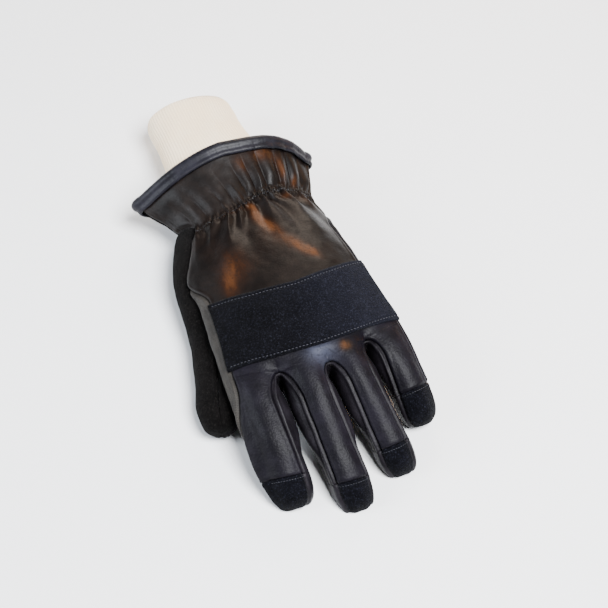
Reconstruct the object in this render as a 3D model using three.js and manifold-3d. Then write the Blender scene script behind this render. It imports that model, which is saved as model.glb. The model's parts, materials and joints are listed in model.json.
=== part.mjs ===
// Leather firefighter glove, left hand, lying palm down. Millimetres, +Z up, fingers towards -Y, thumb at -X.
// Every leather panel is a thin sheet cut from one hollow hand form, so neighbours share their seam lines.
import * as THREE from 'three';
import Module from 'manifold-3d';
import { mergeVertices } from 'three/addons/utils/BufferGeometryUtils.js';

// Driving sizes
const WALL = 2.0; // leather and its lining, per panel
const SEAM_GAP = 0.3; // clearance between two panels along a seam
const PATCH_THICKNESS = 1.5;
const KNIT_WALL = 3.0;
const CENTRE = { x: 9.3, y: 51.0 }; // moves the glove's middle over the origin
const WRIST_HEIGHT = 19.5; // the hand's middle line over the floor, at the wrist

// Rows across the hand: v is counted from the wrist gather, negative in the cuff
const RIM_V = -38;
const PANEL_END_V = 80; // back panel ends here, under the knuckle patch
const PALM_END_V = 104; // cross seam at the roots of the fingers
const VALLEY_V = 104; // the dips between the fingers start here
const ROOT_V = 115; // the row that runs through the finger crotches
const SPREAD_V = 40; // rows past here bend towards the crotches
const PATCH = { startV: 66, endS: 112, side: 0.97, lift: 0.55 }; // its lower edge runs straight across the hand
const ROWS = [RIM_V, -30, -21, -12, -5, 0, 5, 12, 19, 24, 30, 46, 52, 57, 62, 70, 80, 92, 104, 108, 112, 115];
const ROW_BOW = 6; // how far the rows on the back bow towards the fingers
// How much shorter the cuff is at its two sides and under the palm, and how late across the back it shortens
const RIM_BOW = { left: 0.16, leftPower: 0.85, right: 0.12, rightPower: 6, under: 0.075 };

// The hand's sections. left and right are the side seams, seam and crown are heights over and under the
// middle line, the bulge columns are how far the side strips swell, and the round columns say how square the
// back's two shoulders are.
const HAND_COLUMNS = [
  's', 'left', 'right', 'topSeam', 'topCrown', 'lowSeam', 'lowCrown',
  'leftBulge', 'rightBulge', 'leftRound', 'rightRound',
];
const HAND = [
  [-38, -62.5, 48.5, 6, 25.0, -5, 16.0, 5.0, 5.0, 1.9, 3.0],
  [-22, -54.5, 45.0, 5, 21.0, -5, 14.5, 4.5, 4.5, 2.2, 2.7],
  [-10, -46.0, 42.0, 4, 18.5, -5, 16.0, 4.0, 4.0, 2.4, 2.4],
  [0, -42.0, 39.0, 4, 17.5, -5, 16.5, 4.0, 4.0, 2.4, 2.4],
  [14, -45.0, 42.0, 5, 18.5, -5, 17.0, 4.0, 4.0, 2.4, 2.4],
  [38, -50.0, 43.5, 8, 15.5, -5, 18.0, 4.2, 3.5, 2.4, 2.4],
  [60, -48.4, 45.0, 9, 13.0, -4, 15.0, 5.0, 3.0, 2.4, 2.4],
  [84, -49.2, 46.5, 9, 11.5, -4, 14.0, 6.2, 2.5, 2.4, 2.4],
  [118, -52.8, 51.0, 8, 11.0, -4.5, 11.5, 4.6, 2.0, 2.4, 2.4],
  [135, -53.0, 51.5, 7, 11.0, -4.5, 10.0, 4.0, 2.0, 2.4, 2.4],
].map((row) => Object.fromEntries(HAND_COLUMNS.map((name, k) => [name, row[k]])));
// Pitch of the middle line, degrees down towards the fingers
const PITCH = [
  { s: -60, down: 7 },
  { s: -20, down: 6 },
  { s: 0, down: 3 },
  { s: 20, down: -8 },
  { s: 65, down: -4 },
  { s: 92, down: 2 },
  { s: 115, down: 4 },
];
// Where the hand divides into fingers: the position across (-1 to 1), the crotch's station, the dips there and
// how far along the fingers their walls start to draw apart
const LANES = [
  { across: -1, root: 116, topDip: 0, lowDip: 0, apart: 0 },
  { across: -0.518, root: 123, topDip: 5, lowDip: 3.5, apart: 0.32 },
  { across: 0.028, root: 127, topDip: 5, lowDip: 3.5, apart: 0.32 },
  { across: 0.524, root: 120, topDip: 5, lowDip: 3.5, apart: 0.15 },
  { across: 1, root: 114, topDip: 0, lowDip: 0, apart: 0 },
];
// tipX and tipS are the fingertip's place, cap is where the suede starts, the swell columns are the extra bulge
// of an outer side strip at the root and farther on, and down is the bend at the three joints
const FINGERS = [
  {
    name: 'index', tipX: -40, tipS: 194, halfWidth: 11.5,
    cap: 0.75, rootSwell: 2.7, swell: 3.6, down: [7, 13, 13],
  },
  {
    name: 'middle', tipX: -8.5, tipS: 207, halfWidth: 11,
    cap: 0.77, rootSwell: 0, swell: 0, down: [7, 12, 15],
  },
  {
    name: 'ring', tipX: 22.8, tipS: 196, halfWidth: 10.8,
    cap: 0.74, rootSwell: 0, swell: 0, down: [7, 15, 15],
  },
  {
    name: 'little', tipX: 44.5, tipS: 172, halfWidth: 10.5,
    cap: 0.6, rootSwell: 0, swell: 0, down: [12, 15, 15],
  },
];
const FINGER_GAP = 4.7; // half the gap between two fingers
const FINGER = { topSeam: 4.5, topCrown: 6.5, lowSeam: -4.5, lowCrown: 5.0, bulge: 2.0 };
const FORK = { bulge: 3.4, tipBulge: 0.4, crotch: 0.05, fade: 0.36 }; // the walls between two fingers
const ACROSS = 4; // facets across one finger
const CROTCH_LENGTH = 0.13; // of the finger, over which the gap opens
const TIP = { profileRadius: 12, planRadius: 16, planKeep: 0.38, power: 2.1 };

// The thumb's sections along its middle line
const THUMB = [
  { y: 8, x: -28, z: 18, halfWidth: 13, halfHeight: 9 },
  { y: -10, x: -32, z: 17.5, halfWidth: 19, halfHeight: 12 },
  { y: -34, x: -39, z: 17, halfWidth: 20.5, halfHeight: 13 },
  { y: -54, x: -44.5, z: 14.5, halfWidth: 17.5, halfHeight: 12.5 },
  { y: -78, x: -50, z: 12, halfWidth: 14, halfHeight: 11.2 },
  { y: -102, x: -56.5, z: 11.2, halfWidth: 13, halfHeight: 10.6 },
  { y: -119, x: -62, z: 10.6, halfWidth: 12.2, halfHeight: 10.1 },
  { y: -135, x: -65.8, z: 9.6, halfWidth: 8.5, halfHeight: 8 },
];
const THUMB_RINGS = { even: 8, evenEnd: -118, last: [-126, -131], endLength: 2, endSize: 0.6, around: 16 };
// The knit tube's sections past the cuff
const WRISTLET = [
  { y: 14, x: -2.5, z: 22.6, halfWidth: 35, halfHeight: 15 },
  { y: 30, x: -3.5, z: 23.6, halfWidth: 34.5, halfHeight: 16 },
  { y: 44, x: -4.8, z: 22.0, halfWidth: 33, halfHeight: 17.6 },
  { y: 58, x: -6, z: 20.6, halfWidth: 30.5, halfHeight: 18.0 },
  { y: 78, x: -7, z: 19.2, halfWidth: 29, halfHeight: 17.5 },
  { y: 92, x: -7, z: 17.8, halfWidth: 30, halfHeight: 18.2 },
  { y: 100, x: -7, z: 17.4, halfWidth: 29.5, halfHeight: 18.0 },
];
const TAB = { x: -5, halfWidth: 11, start: 37, end: 79, thickness: 1.5 };
// Creases between the cuff's flutes, by their place across the back, and how high the leather swells after each
const FLUTES = [
  { across: -1.12, height: 1.2 },
  { across: -0.86, height: 1.8 },
  { across: -0.66, height: 1.9 },
  { across: -0.40, height: 1.6 },
  { across: -0.22, height: 2.0 },
  { across: 0.02, height: 1.8 },
  { across: 0.18, height: 2.6 },
  { across: 0.36, height: 3.0 },
  { across: 0.58, height: 2.8 },
  { across: 0.74, height: 2.6 },
  { across: 0.90, height: 2.0 },
  { across: 1.12, height: 0 },
];
const FLUTE_ROWS = { rim: RIM_V, full: -13, gather: 0 };
// Single folds that run from the gather down the back: place across at both ends, rows, half width and height
const BACK_FOLDS = [
  { from: -0.80, to: -0.92, start: -1, end: 34, width: 0.09, height: 2.0 },
  { from: -0.52, to: -0.74, start: -2, end: 30, width: 0.06, height: 1.3 },
  { from: -0.32, to: -0.60, start: -2, end: 58, width: 0.13, height: 2.6 },
  { from: -0.14, to: -0.26, start: -3, end: 26, width: 0.05, height: 1.5 },
  { from: -0.02, to: -0.04, start: -3, end: 22, width: 0.05, height: 1.2 },
  { from: 0.14, to: 0.34, start: -2, end: 44, width: 0.08, height: 2.5 },
  { from: 0.33, to: 0.52, start: -3, end: 26, width: 0.05, height: 1.7 },
  { from: 0.50, to: 0.80, start: -1, end: 60, width: 0.11, height: 2.6 },
  { from: 0.78, to: 0.96, start: -3, end: 36, width: 0.10, height: 2.2 },
];
const WAIST = { depth: 1.6, halfLength: 5 };
// How far below row 0 the elastic runs, by its place across the back
const GATHER_LINE = [
  { across: -1.7, down: 0 },
  { across: -1.2, down: 5 },
  { across: -0.8, down: 8 },
  { across: -0.25, down: 8 },
  { across: 0.1, down: 1.5 },
  { across: 0.45, down: -2 },
  { across: 0.95, down: -2.5 },
  { across: 1.6, down: 0 },
];
const SWELL = { across: 45, height: 20 }; // half axes of the oval that the folds rise from, square to it

const LEATHER = { color: 0x1c1715, roughness: 0.42 };
const SUEDE = { color: 0x121214, roughness: 0.95 };
const KNIT = { color: 0xe6e2d6, roughness: 0.95 };

// Small maths
const mix = (from, to, share) => from + (to - from) * share;
const clamp = (value, low, high) => Math.min(Math.max(value, low), high);
function smooth(share) {
  const t = clamp(share, 0, 1);
  return t * t * (3 - 2 * t);
}
const crown = (across, power = 2.4) => 1 - Math.abs(across) ** power;
const steps = (from, to, count) => Array.from({ length: count + 1 }, (_, k) => mix(from, to, k / count));

// A smooth curve through one column of a table, by its first column
function column(table, key, name, at) {
  const last = table.length - 1;
  const rising = table[last][key] > table[0][key] ? 1 : -1;
  const inside = clamp(at * rising, table[0][key] * rising, table[last][key] * rising) * rising;
  let k = 0;
  while (k < last - 1 && (inside - table[k + 1][key]) * rising > 0) k += 1;
  const slope = (n) => {
    const a = table[Math.max(n - 1, 0)];
    const b = table[Math.min(n + 1, last)];
    return (b[name] - a[name]) / (b[key] - a[key]);
  };
  const span = table[k + 1][key] - table[k][key];
  const u = (inside - table[k][key]) / span;
  const u2 = u * u;
  const u3 = u2 * u;
  return (2 * u3 - 3 * u2 + 1) * table[k][name] + (u3 - 2 * u2 + u) * span * slope(k)
    + (3 * u2 - 2 * u3) * table[k + 1][name] + (u3 - u2) * span * slope(k + 1);
}

// The middle line of the hand, or of one finger: its place at each millimetre, from its pitch
const SPINE_START = -60;
function spine(pitchAt, end) {
  const line = [{ forward: 0, z: 0, pitch: THREE.MathUtils.degToRad(pitchAt(SPINE_START)) }];
  for (let s = SPINE_START; s < end; s += 1) {
    const last = line[line.length - 1];
    const pitch = THREE.MathUtils.degToRad(pitchAt(s + 0.5));
    const next = THREE.MathUtils.degToRad(pitchAt(s + 1));
    line.push({ forward: last.forward + Math.cos(pitch), z: last.z - Math.sin(pitch), pitch: next });
  }
  const at = (s) => {
    const k = clamp(Math.floor(s - SPINE_START), 0, line.length - 2);
    const share = s - SPINE_START - k;
    const read = (name) => mix(line[k][name], line[k + 1][name], share);
    return { forward: read('forward'), z: read('z'), pitch: read('pitch') };
  };
  const wrist = at(0);
  return (s) => {
    const p = at(s);
    return { forward: p.forward - wrist.forward, z: p.z - wrist.z + WRIST_HEIGHT, pitch: p.pitch };
  };
}
const handPitch = (s) => column(PITCH, 's', 'down', s);
const handSpine = spine(handPitch, 140);
function fingerPitch(finger, lane) {
  const root = Math.max(LANES[lane].root, LANES[lane + 1].root);
  const length = finger.tipS - root;
  return (s) => {
    const along = (s - root) / length;
    return handPitch(s) + finger.down[0] * smooth(along / 0.3)
      + finger.down[1] * smooth((along - 0.32) / 0.22) + finger.down[2] * smooth((along - 0.62) / 0.22);
  };
}
const fingerSpines = FINGERS.map((finger, lane) => spine(fingerPitch(finger, lane), 220));

// A point beside the middle line; what would reach under the floor is pressed flat on it
function place(line, { x, s, h }, inset) {
  const p = line(s);
  const z = p.z + h * Math.cos(p.pitch);
  return new THREE.Vector3(x + CENTRE.x, CENTRE.y - (p.forward + h * Math.sin(p.pitch)), Math.max(z, inset, 0));
}

// The hand's section: upper and lower surface at a position across, inset into the wall
function section(s) {
  return Object.fromEntries(HAND_COLUMNS.slice(1).map((name) => [name, column(HAND, 's', name, s)]));
}
function surface(across, s, inset, upper) {
  const r = section(s);
  const x = mix(r.left + inset, r.right - inset, (across + 1) / 2);
  if (upper) {
    const power = across < 0 ? r.leftRound : r.rightRound;
    return { x, s, h: r.topSeam - 0.4 * inset + (r.topCrown - 0.6 * inset) * crown(across, power) };
  }
  return { x, s, h: r.lowSeam + 0.4 * inset - (r.lowCrown - 0.6 * inset) * crown(across) };
}
const innerLane = (lane) => lane > 0 && lane < LANES.length - 1;
const rootStation = (lane, inset) => LANES[lane].root - (innerLane(lane) ? inset : 0);

// A lane edge's own point on a row, with the dip between the fingers when it has formed
function laneEdge(lane, s, inset, upper, dip) {
  const p = surface(LANES[lane].across, s, inset, upper);
  const x = innerLane(lane) ? surface(LANES[lane].across, s, 0, upper).x : p.x;
  return { x, s, h: p.h + (upper ? -LANES[lane].topDip : LANES[lane].lowDip) * dip };
}

// The station of a row at a position across
const rowSpread = (v) => smooth((v - SPREAD_V) / (ROOT_V - SPREAD_V));
function station(across, v, inset, upper) {
  if (v < 0) {
    const reach = (power) => (upper ? Math.abs(across) ** power : 1);
    const left = RIM_BOW.left * reach(RIM_BOW.leftPower);
    const right = RIM_BOW.right * reach(RIM_BOW.rightPower);
    const under = upper ? 0 : RIM_BOW.under * (1 - across ** 2);
    return v * (1 - mix(left, right, smooth((across + 1) / 2)) - under);
  }
  let lane = 0;
  while (lane < LANES.length - 2 && across > LANES[lane + 1].across) lane += 1;
  const share = (across - LANES[lane].across) / (LANES[lane + 1].across - LANES[lane].across);
  const root = mix(rootStation(lane, inset), rootStation(lane + 1, inset), share);
  const bow = upper ? ROW_BOW * (1 - across ** 2) * smooth(v / 40) * (1 - smooth((v - 95) / 20)) : 0;
  return v + rowSpread(v) * (root - ROOT_V) + bow;
}

// Height of the cuff's flutes, rounded between sharp creases
function fluteHeight(across, v) {
  let k = FLUTES.length - 2;
  while (k > 0 && across < FLUTES[k].across) k -= 1;
  const share = clamp((across - FLUTES[k].across) / (FLUTES[k + 1].across - FLUTES[k].across), 0, 1);
  const { rim, full, gather } = FLUTE_ROWS;
  const along = smooth((v - rim) / (full - rim)) * smooth((gather - v) / (gather - full));
  return FLUTES[k].height * Math.sin(Math.PI * share) ** 0.75 * along;
}

// Height of the single folds below the gather, which spread and fade towards the fingers
function backFoldHeight(across, v) {
  let total = 0;
  for (const fold of BACK_FOLDS) {
    const t = clamp((v - fold.start) / (fold.end - fold.start), 0, 1);
    const off = Math.abs(across - mix(fold.from, fold.to, t ** 0.8)) / (fold.width * mix(0.7, 1.9, t));
    const ridge = Math.exp(-(off ** 1.7)) - 0.25 * Math.exp(-(((off - 1.5) / 0.6) ** 2));
    total += fold.height * ridge * smooth(t / 0.18) * (1 - smooth((t - 0.35) / 0.65));
  }
  return total;
}

// What the elastic does to the leather at a place round the hand. ring runs from -1 to 1 over the back, on to 2
// down the right side, to 4 under the palm and to 5 up the left side.
function gatherHeight(ring, v, folded) {
  const across = ring > 3 ? ring - 6 : ring;
  const onBack = smooth((1.6 - Math.abs(across)) / 0.6);
  const from = v - column(GATHER_LINE, 'across', 'down', across);
  const waist = WAIST.depth * Math.exp(-((from / WAIST.halfLength) ** 2)) * mix(0.35, 1, onBack);
  return (folded ? (fluteHeight(across, from) + backFoldHeight(across, from)) * onBack : 0) - waist;
}

// A point of the hand at a place round it, a row and a depth
function handRing(ring, v, inset, folded = true) {
  const q = ring < -2 ? ring + 6 : ring;
  let p;
  if (q <= 1 && q >= -1) p = surface(q, station(q, v, inset, true), inset, true);
  else if (q >= 2 && q <= 4) p = surface(3 - q, station(3 - q, v, inset, false), inset, false);
  else p = handSide(q > 0 && q < 2 ? 1 : -1, q > 0 && q < 2 ? 3 - 2 * q : sideHeight(q), v, inset);
  const height = gatherHeight(q, v, folded);
  const r = section(p.s);
  const middle = (r.left + r.right) / 2;
  const out = new THREE.Vector2((p.x - middle) / SWELL.across ** 2, p.h / SWELL.height ** 2).normalize();
  return place(handSpine, { x: p.x + out.x * height, s: p.s, h: p.h + out.y * height }, inset);
}
const sideHeight = (q) => (q < 0 ? 2 * q + 3 : 2 * q - 9);

// The hand's side strip: height runs from -1 at the lower seam to 1 at the upper one
function handSide(side, height, v, inset) {
  const s = station(side, v, inset, true);
  const top = surface(side, s, inset, true);
  const low = surface(side, s, inset, false);
  const bulge = section(s)[side < 0 ? 'leftBulge' : 'rightBulge'] * crown(height, 2);
  return { x: top.x + side * bulge, s, h: mix(low.h, top.h, (height + 1) / 2) };
}

// One finger's seam lines, from the crotch at along = 0 to the tip at 1
function tipRound(left, radius, power) {
  const q = clamp(1 - left / radius, 0, 1);
  return Math.max(1 - q ** power, 0) ** (1 / power);
}
function gapOpening(along) {
  const t = clamp(along / CROTCH_LENGTH, 0, 1);
  return Math.sqrt(1 - (1 - t) ** 2);
}
function fingerEdge(number, side, along, inset) {
  const finger = FINGERS[number];
  const lane = side < 0 ? number : number + 1;
  const start = rootStation(lane, inset);
  const tip = finger.tipS - inset;
  const s = mix(start, tip, along);
  const top = laneEdge(lane, start, inset, true, 1);
  const low = laneEdge(lane, start, inset, false, 1);
  const opened = innerLane(lane) ? side * (FINGER_GAP + inset) * gapOpening(along) : 0;
  const from = top.x - opened;
  const full = mix(from, finger.tipX + side * (finger.halfWidth - inset), along);
  const keep = mix(TIP.planKeep, 1, tipRound(tip - s, TIP.planRadius, 2.2));
  const x = tip - s < TIP.planRadius ? finger.tipX + (full - finger.tipX) * keep : full;
  const fade = 1 - smooth(along / 0.55);
  const round = tipRound(tip - s, TIP.profileRadius - inset, TIP.power);
  return {
    x,
    s,
    fade,
    round,
    top: mix(FINGER.topSeam - 0.4 * inset, top.h, fade) * round,
    low: mix(FINGER.lowSeam + 0.4 * inset, low.h, fade) * round,
    rootTop: top.h,
    rootLow: low.h,
  };
}

// The finger's upper or lower strip at a position across it
function fingerStrip(number, across, along, inset, upper) {
  const left = fingerEdge(number, -1, along, inset);
  const right = fingerEdge(number, 1, along, inset);
  const share = (across + 1) / 2;
  const middle = (LANES[number].across + LANES[number + 1].across) / 2;
  const root = (rootStation(number, inset) + rootStation(number + 1, inset)) / 2;
  const centre = surface(middle, root, inset, upper).h;
  const edges = upper ? (left.rootTop + right.rootTop) / 2 : (left.rootLow + right.rootLow) / 2;
  const far = upper ? FINGER.topCrown - 0.6 * inset : -(FINGER.lowCrown - 0.6 * inset);
  const rise = mix(far, centre - edges, (left.fade + right.fade) / 2) * (left.round + right.round) / 2;
  const h = upper ? mix(left.top, right.top, share) : mix(left.low, right.low, share);
  return { x: mix(left.x, right.x, share), s: mix(left.s, right.s, share), h: h + rise * crown(across) };
}

// The finger's side strip; the crotch end is held clear of the upper panel
function fingerSide(number, side, height, along, inset) {
  const edge = fingerEdge(number, side, along, inset);
  const lane = side < 0 ? number : number + 1;
  const outer = !innerLane(lane);
  const opened = 1 - Math.exp(-along / FORK.crotch);
  const fork = mix(FORK.bulge, FORK.tipBulge, smooth((along - LANES[lane].apart) / FORK.fade)) * opened;
  const { rootSwell, swell: farSwell } = FINGERS[number];
  const fuller = mix(rootSwell, farSwell, smooth(along / 0.35)) * (1 - smooth((along - 0.6) / 0.35));
  const swell = (outer ? FINGER.bulge + fuller : fork) * edge.round;
  const back = outer ? 0 : SEAM_GAP * (1 - gapOpening(along));
  return {
    x: edge.x + side * swell * crown(height, 2),
    s: edge.s + back,
    h: mix(edge.low, edge.top, (height + 1) / 2),
  };
}
const onFinger = (number, flat, inset) => place(fingerSpines[number], flat, inset);

// The hand's upper or lower surface within one lane, which takes the finger's shape as it nears the crotches
function laneSurface(number, across, v, inset, upper) {
  const a = LANES[number].across;
  const b = LANES[number + 1].across;
  const position = mix(a, b, (across + 1) / 2);
  const s = station(position, v, inset, upper);
  const flat = surface(position, s, inset, upper);
  const formed = smooth((v - VALLEY_V) / (ROOT_V - VALLEY_V));
  const left = laneEdge(number, station(a, v, inset, upper), inset, upper, 1);
  const right = laneEdge(number + 1, station(b, v, inset, upper), inset, upper, 1);
  const centre = surface((a + b) / 2, station((a + b) / 2, v, inset, upper), inset, upper).h;
  const h = mix(left.h, right.h, (across + 1) / 2) + (centre - (left.h + right.h) / 2) * crown(across);
  return { x: mix(flat.x, mix(left.x, right.x, (across + 1) / 2), formed), s, h: mix(flat.h, h, formed) };
}
const onHand = (flat, inset) => place(handSpine, flat, inset);

// A closed thin solid from grids of outer and inner points. Grids that share an edge are joined there, and a
// row may have half as many cells as the row before it.
function thicken(grids) {
  const outer = [];
  const inner = [];
  const known = new Map();
  const faces = [];
  const vertex = ([out, back]) => {
    const key = [out.x, out.y, out.z].map((value) => Math.round(value * 1000)).join();
    if (!known.has(key)) {
      known.set(key, outer.length);
      outer.push(out);
      inner.push(back);
    }
    return known.get(key);
  };
  const face = (a, b, c) => {
    if (a !== b && b !== c && c !== a) faces.push([a, b, c]);
  };
  for (const grid of grids) {
    const ids = grid.map((row) => row.map(vertex));
    for (let i = 0; i + 1 < ids.length; i += 1) {
      const [here, next] = [ids[i], ids[i + 1]];
      if (next.length < here.length) {
        for (let j = 0; j + 1 < next.length; j += 1) {
          face(here[2 * j], here[2 * j + 1], next[j]);
          face(here[2 * j + 1], next[j + 1], next[j]);
          face(here[2 * j + 1], here[2 * j + 2], next[j + 1]);
        }
        continue;
      }
      for (let j = 0; j + 1 < here.length; j += 1) {
        face(here[j], here[j + 1], next[j + 1]);
        face(here[j], next[j + 1], next[j]);
      }
    }
  }
  const used = new Map();
  for (const [a, b, c] of faces) {
    for (const [from, to] of [[a, b], [b, c], [c, a]]) used.set(`${from},${to}`, [from, to]);
  }
  const depth = outer.length;
  const index = faces.flatMap(([a, b, c]) => [a, b, c, a + depth, c + depth, b + depth]);
  for (const [from, to] of used.values()) {
    if (used.has(`${to},${from}`)) continue;
    index.push(to, from, from + depth, to, from + depth, to + depth);
  }
  return solidGeometry([...outer, ...inner], index);
}

// An indexed geometry with its faces turned outwards
function solidGeometry(points, index) {
  let volume = 0;
  for (let k = 0; k < index.length; k += 3) {
    const [a, b, c] = [points[index[k]], points[index[k + 1]], points[index[k + 2]]];
    volume += new THREE.Vector3().crossVectors(a, b).dot(c);
  }
  if (volume < 0) {
    for (let k = 0; k < index.length; k += 3) [index[k], index[k + 1]] = [index[k + 1], index[k]];
  }
  const geometry = new THREE.BufferGeometry();
  const values = points.flatMap((p) => [p.x, p.y, p.z]);
  geometry.setAttribute('position', new THREE.Float32BufferAttribute(values, 3));
  geometry.setIndex(index);
  return geometry;
}

// A grid of outer and inner point pairs
function pairs(rows, columns, pointAt, depths = [0, WALL]) {
  return rows.map((row) => columns.map((across) => depths.map((inset) => pointAt(row, across, inset))));
}

// A closed solid from rings of points, each end closed by a fan
function closedTube(rings) {
  const count = rings[0].length;
  const points = rings.flat();
  const index = [];
  for (let i = 0; i + 1 < rings.length; i += 1) {
    for (let j = 0; j < count; j += 1) {
      const a = i * count + j;
      const b = i * count + ((j + 1) % count);
      index.push(a, b, b + count, a, b + count, a + count);
    }
  }
  for (const [ring, turn] of [[0, false], [rings.length - 1, true]]) {
    const middle = rings[ring].reduce((sum, p) => sum.clone().add(p), new THREE.Vector3()).divideScalar(count);
    const hub = points.push(middle) - 1;
    for (let j = 0; j < count; j += 1) {
      const a = ring * count + j;
      const b = ring * count + ((j + 1) % count);
      index.push(...(turn ? [a, b, hub] : [b, a, hub]));
    }
  }
  return solidGeometry(points, index);
}

// Booleans
const wasm = await Module();
wasm.setup();
function toManifold(geometry) {
  const bare = geometry.clone();
  bare.deleteAttribute('normal');
  bare.deleteAttribute('uv');
  const merged = mergeVertices(bare, 1e-4);
  return new wasm.Manifold(new wasm.Mesh({
    numProp: 3,
    vertProperties: new Float32Array(merged.attributes.position.array),
    triVerts: new Uint32Array(merged.index.array),
  }));
}
function fromManifold(solid) {
  const mesh = solid.getMesh();
  const geometry = new THREE.BufferGeometry();
  geometry.setAttribute('position', new THREE.BufferAttribute(new Float32Array(mesh.vertProperties), 3));
  geometry.setIndex(new THREE.BufferAttribute(new Uint32Array(mesh.triVerts), 1));
  return geometry;
}
// The largest body only: the crumbs that a cut leaves at a seam's end are trimmed away
function largest(solid) {
  return solid.decompose().sort((a, b) => b.volume() - a.volume())[0];
}

// Panel limits round the hand: where the side strips start, the back and palm panels draw apart
const sideShare = (v, start, end) => 0.5 * (1 - smooth((v - start) / (end - start)));
const leftShare = (v) => sideShare(v, 41, 64);
const rightShare = (v) => sideShare(v, 8, 30);
const halfSeam = SEAM_GAP / 2;
const topShift = halfSeam / 48; // half a seam gap, counted round the back
const sideShift = halfSeam / 6.5; // and down a side

// Columns of the back panel, as places round the hand: along the flutes in the cuff, even below the gather
const SIDE_END = 1.5; // where the back and palm panels meet beside the cuff
const sideColumns = steps(1, SIDE_END, 3).slice(1);
const fluteColumns = FLUTES.slice(0, -1).flatMap((flute, k) => (
  steps(flute.across, FLUTES[k + 1].across, 3).slice(0, -1)));
const lastCrease = FLUTES[FLUTES.length - 1].across;
const beforeFlutes = steps(-SIDE_END, FLUTES[0].across, 2).slice(0, -1);
const cuffColumns = [...beforeFlutes, ...fluteColumns, ...steps(lastCrease, SIDE_END, 5)];
const COLUMN_CHANGE = { start: -5, end: 12 }; // rows over which the one set of columns turns into the other
const evenColumns = [...sideColumns.map((ring) => -ring).reverse(), ...steps(-1, 1, 34), ...sideColumns];

// Back of the hand and cuff
function backPanel() {
  const at = (v, k, inset) => {
    const left = leftShare(v);
    const right = rightShare(v);
    const from = -1 - left + mix(topShift, sideShift, left * 2);
    const to = 1 + right - mix(topShift, sideShift, right * 2);
    const changed = smooth((v - COLUMN_CHANGE.start) / (COLUMN_CHANGE.end - COLUMN_CHANGE.start));
    const ring = mix(cuffColumns[k], evenColumns[k], changed);
    const side = Math.sign(ring);
    const narrowed = Math.abs(ring) > 1 ? side + (ring - side) * 2 * (side > 0 ? right : left) : ring;
    return handRing(clamp(narrowed, from, to), v === PANEL_END_V ? v - halfSeam : v, inset);
  };
  const folded = ROWS.filter((v) => v <= 46);
  const plain = ROWS.filter((v) => v > 46 && v <= PANEL_END_V);
  const columns = evenColumns.map((_, k) => k);
  return thicken([[...pairs(folded, columns, at), ...pairs(plain, columns.filter((k) => k % 2 === 0), at)]]);
}

// Palm and the palm side of the cuff
function palmPanel() {
  const rows = ROWS.filter((v) => v <= PALM_END_V && ![-30, -12, 0].includes(v));
  return thicken([pairs(rows, steps(0, 1, 20), (v, share, inset) => {
    const left = leftShare(v);
    const right = rightShare(v);
    const from = 2 - right + mix(topShift, sideShift, right * 2);
    const to = 4 + left - mix(topShift, sideShift, left * 2);
    return handRing(mix(from, to, share), v === PALM_END_V ? v - halfSeam : v, inset);
  })]);
}

// Smooth leather over the knuckles and fingers, or the suede under them
const crotchSteps = steps(0, Math.PI / 2, 4).map((turn) => CROTCH_LENGTH * (1 - Math.cos(turn)));
function fingerRows(cap, shift) {
  return [...crotchSteps, ...steps(CROTCH_LENGTH, cap - shift, 5).slice(1)];
}
function fingersPanel(startV, upper) {
  const grids = [];
  const rows = [startV + halfSeam, ...ROWS.filter((v) => v > startV)];
  const columns = steps(-1, 1, ACROSS);
  FINGERS.forEach((finger, number) => {
    const trimmed = (across, open) => {
      const outer = (across < 0 && number === 0) || (across > 0 && number === FINGERS.length - 1);
      return across * (1 - (halfSeam * (outer ? 1 : open)) / finger.halfWidth);
    };
    grids.push(pairs(rows, columns, (v, across, inset) => (
      onHand(laneSurface(number, trimmed(across, 0), v, inset, upper), inset))));
    const shift = halfSeam / (finger.tipS - LANES[number].root);
    grids.push(pairs(fingerRows(finger.cap, shift), columns, (along, across, inset) => {
      const edge = trimmed(across, gapOpening(along));
      return onFinger(number, fingerStrip(number, edge, along, inset, upper), inset);
    }));
  });
  return thicken(grids);
}

// Side walls between two fingers, one folded strip round the crotch
function fourchette(number) {
  const rowsOf = (finger) => {
    const { cap, tipS } = FINGERS[finger];
    return fingerRows(cap, halfSeam / (tipS - LANES[finger + 1].root));
  };
  const heights = steps(-1, 1, 3);
  const strip = (finger, side) => pairs(rowsOf(finger), heights, (along, height, inset) => {
    const edge = fingerEdge(finger, side, along, 0);
    const shift = SEAM_GAP / (edge.top - edge.low);
    return onFinger(finger, fingerSide(finger, side, height * (1 - shift), along, inset), inset);
  });
  const crotch = strip(number, 1)[0];
  const far = strip(number + 1, -1);
  far[0] = crotch;
  return thicken([strip(number, 1).reverse(), far]);
}

// Strip along an outer side, from its pointed start on the hand to the fingertip's cap
function sideGusset(number, side, shareAt, startV) {
  const finger = FINGERS[number];
  const shift = halfSeam / (finger.tipS - LANES[number].root);
  const heights = steps(-1, 1, 3);
  const handRows = ROWS.filter((v) => v >= startV && (v <= PALM_END_V || v === ROOT_V));
  const hand = pairs(handRows, heights, (v, height, inset) => {
    const r = section(station(side, v, 0, true));
    const span = 1 - 2 * shareAt(v) - SEAM_GAP / (r.topSeam - r.lowSeam);
    const flat = handSide(side, height * Math.max(span, 0.08), v, inset);
    return onHand(flat, inset);
  });
  const rows = [0, 0.06, 0.13, 0.25, 0.4, 0.55, finger.cap - shift];
  const along = pairs(rows, heights, (part, height, inset) => {
    const edge = fingerEdge(number, side, part, 0);
    const span = 1 - SEAM_GAP / (edge.top - edge.low);
    return onFinger(number, fingerSide(number, side, height * span, part, inset), inset);
  });
  along[0] = hand[hand.length - 1];
  return thicken([hand, along]);
}

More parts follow.
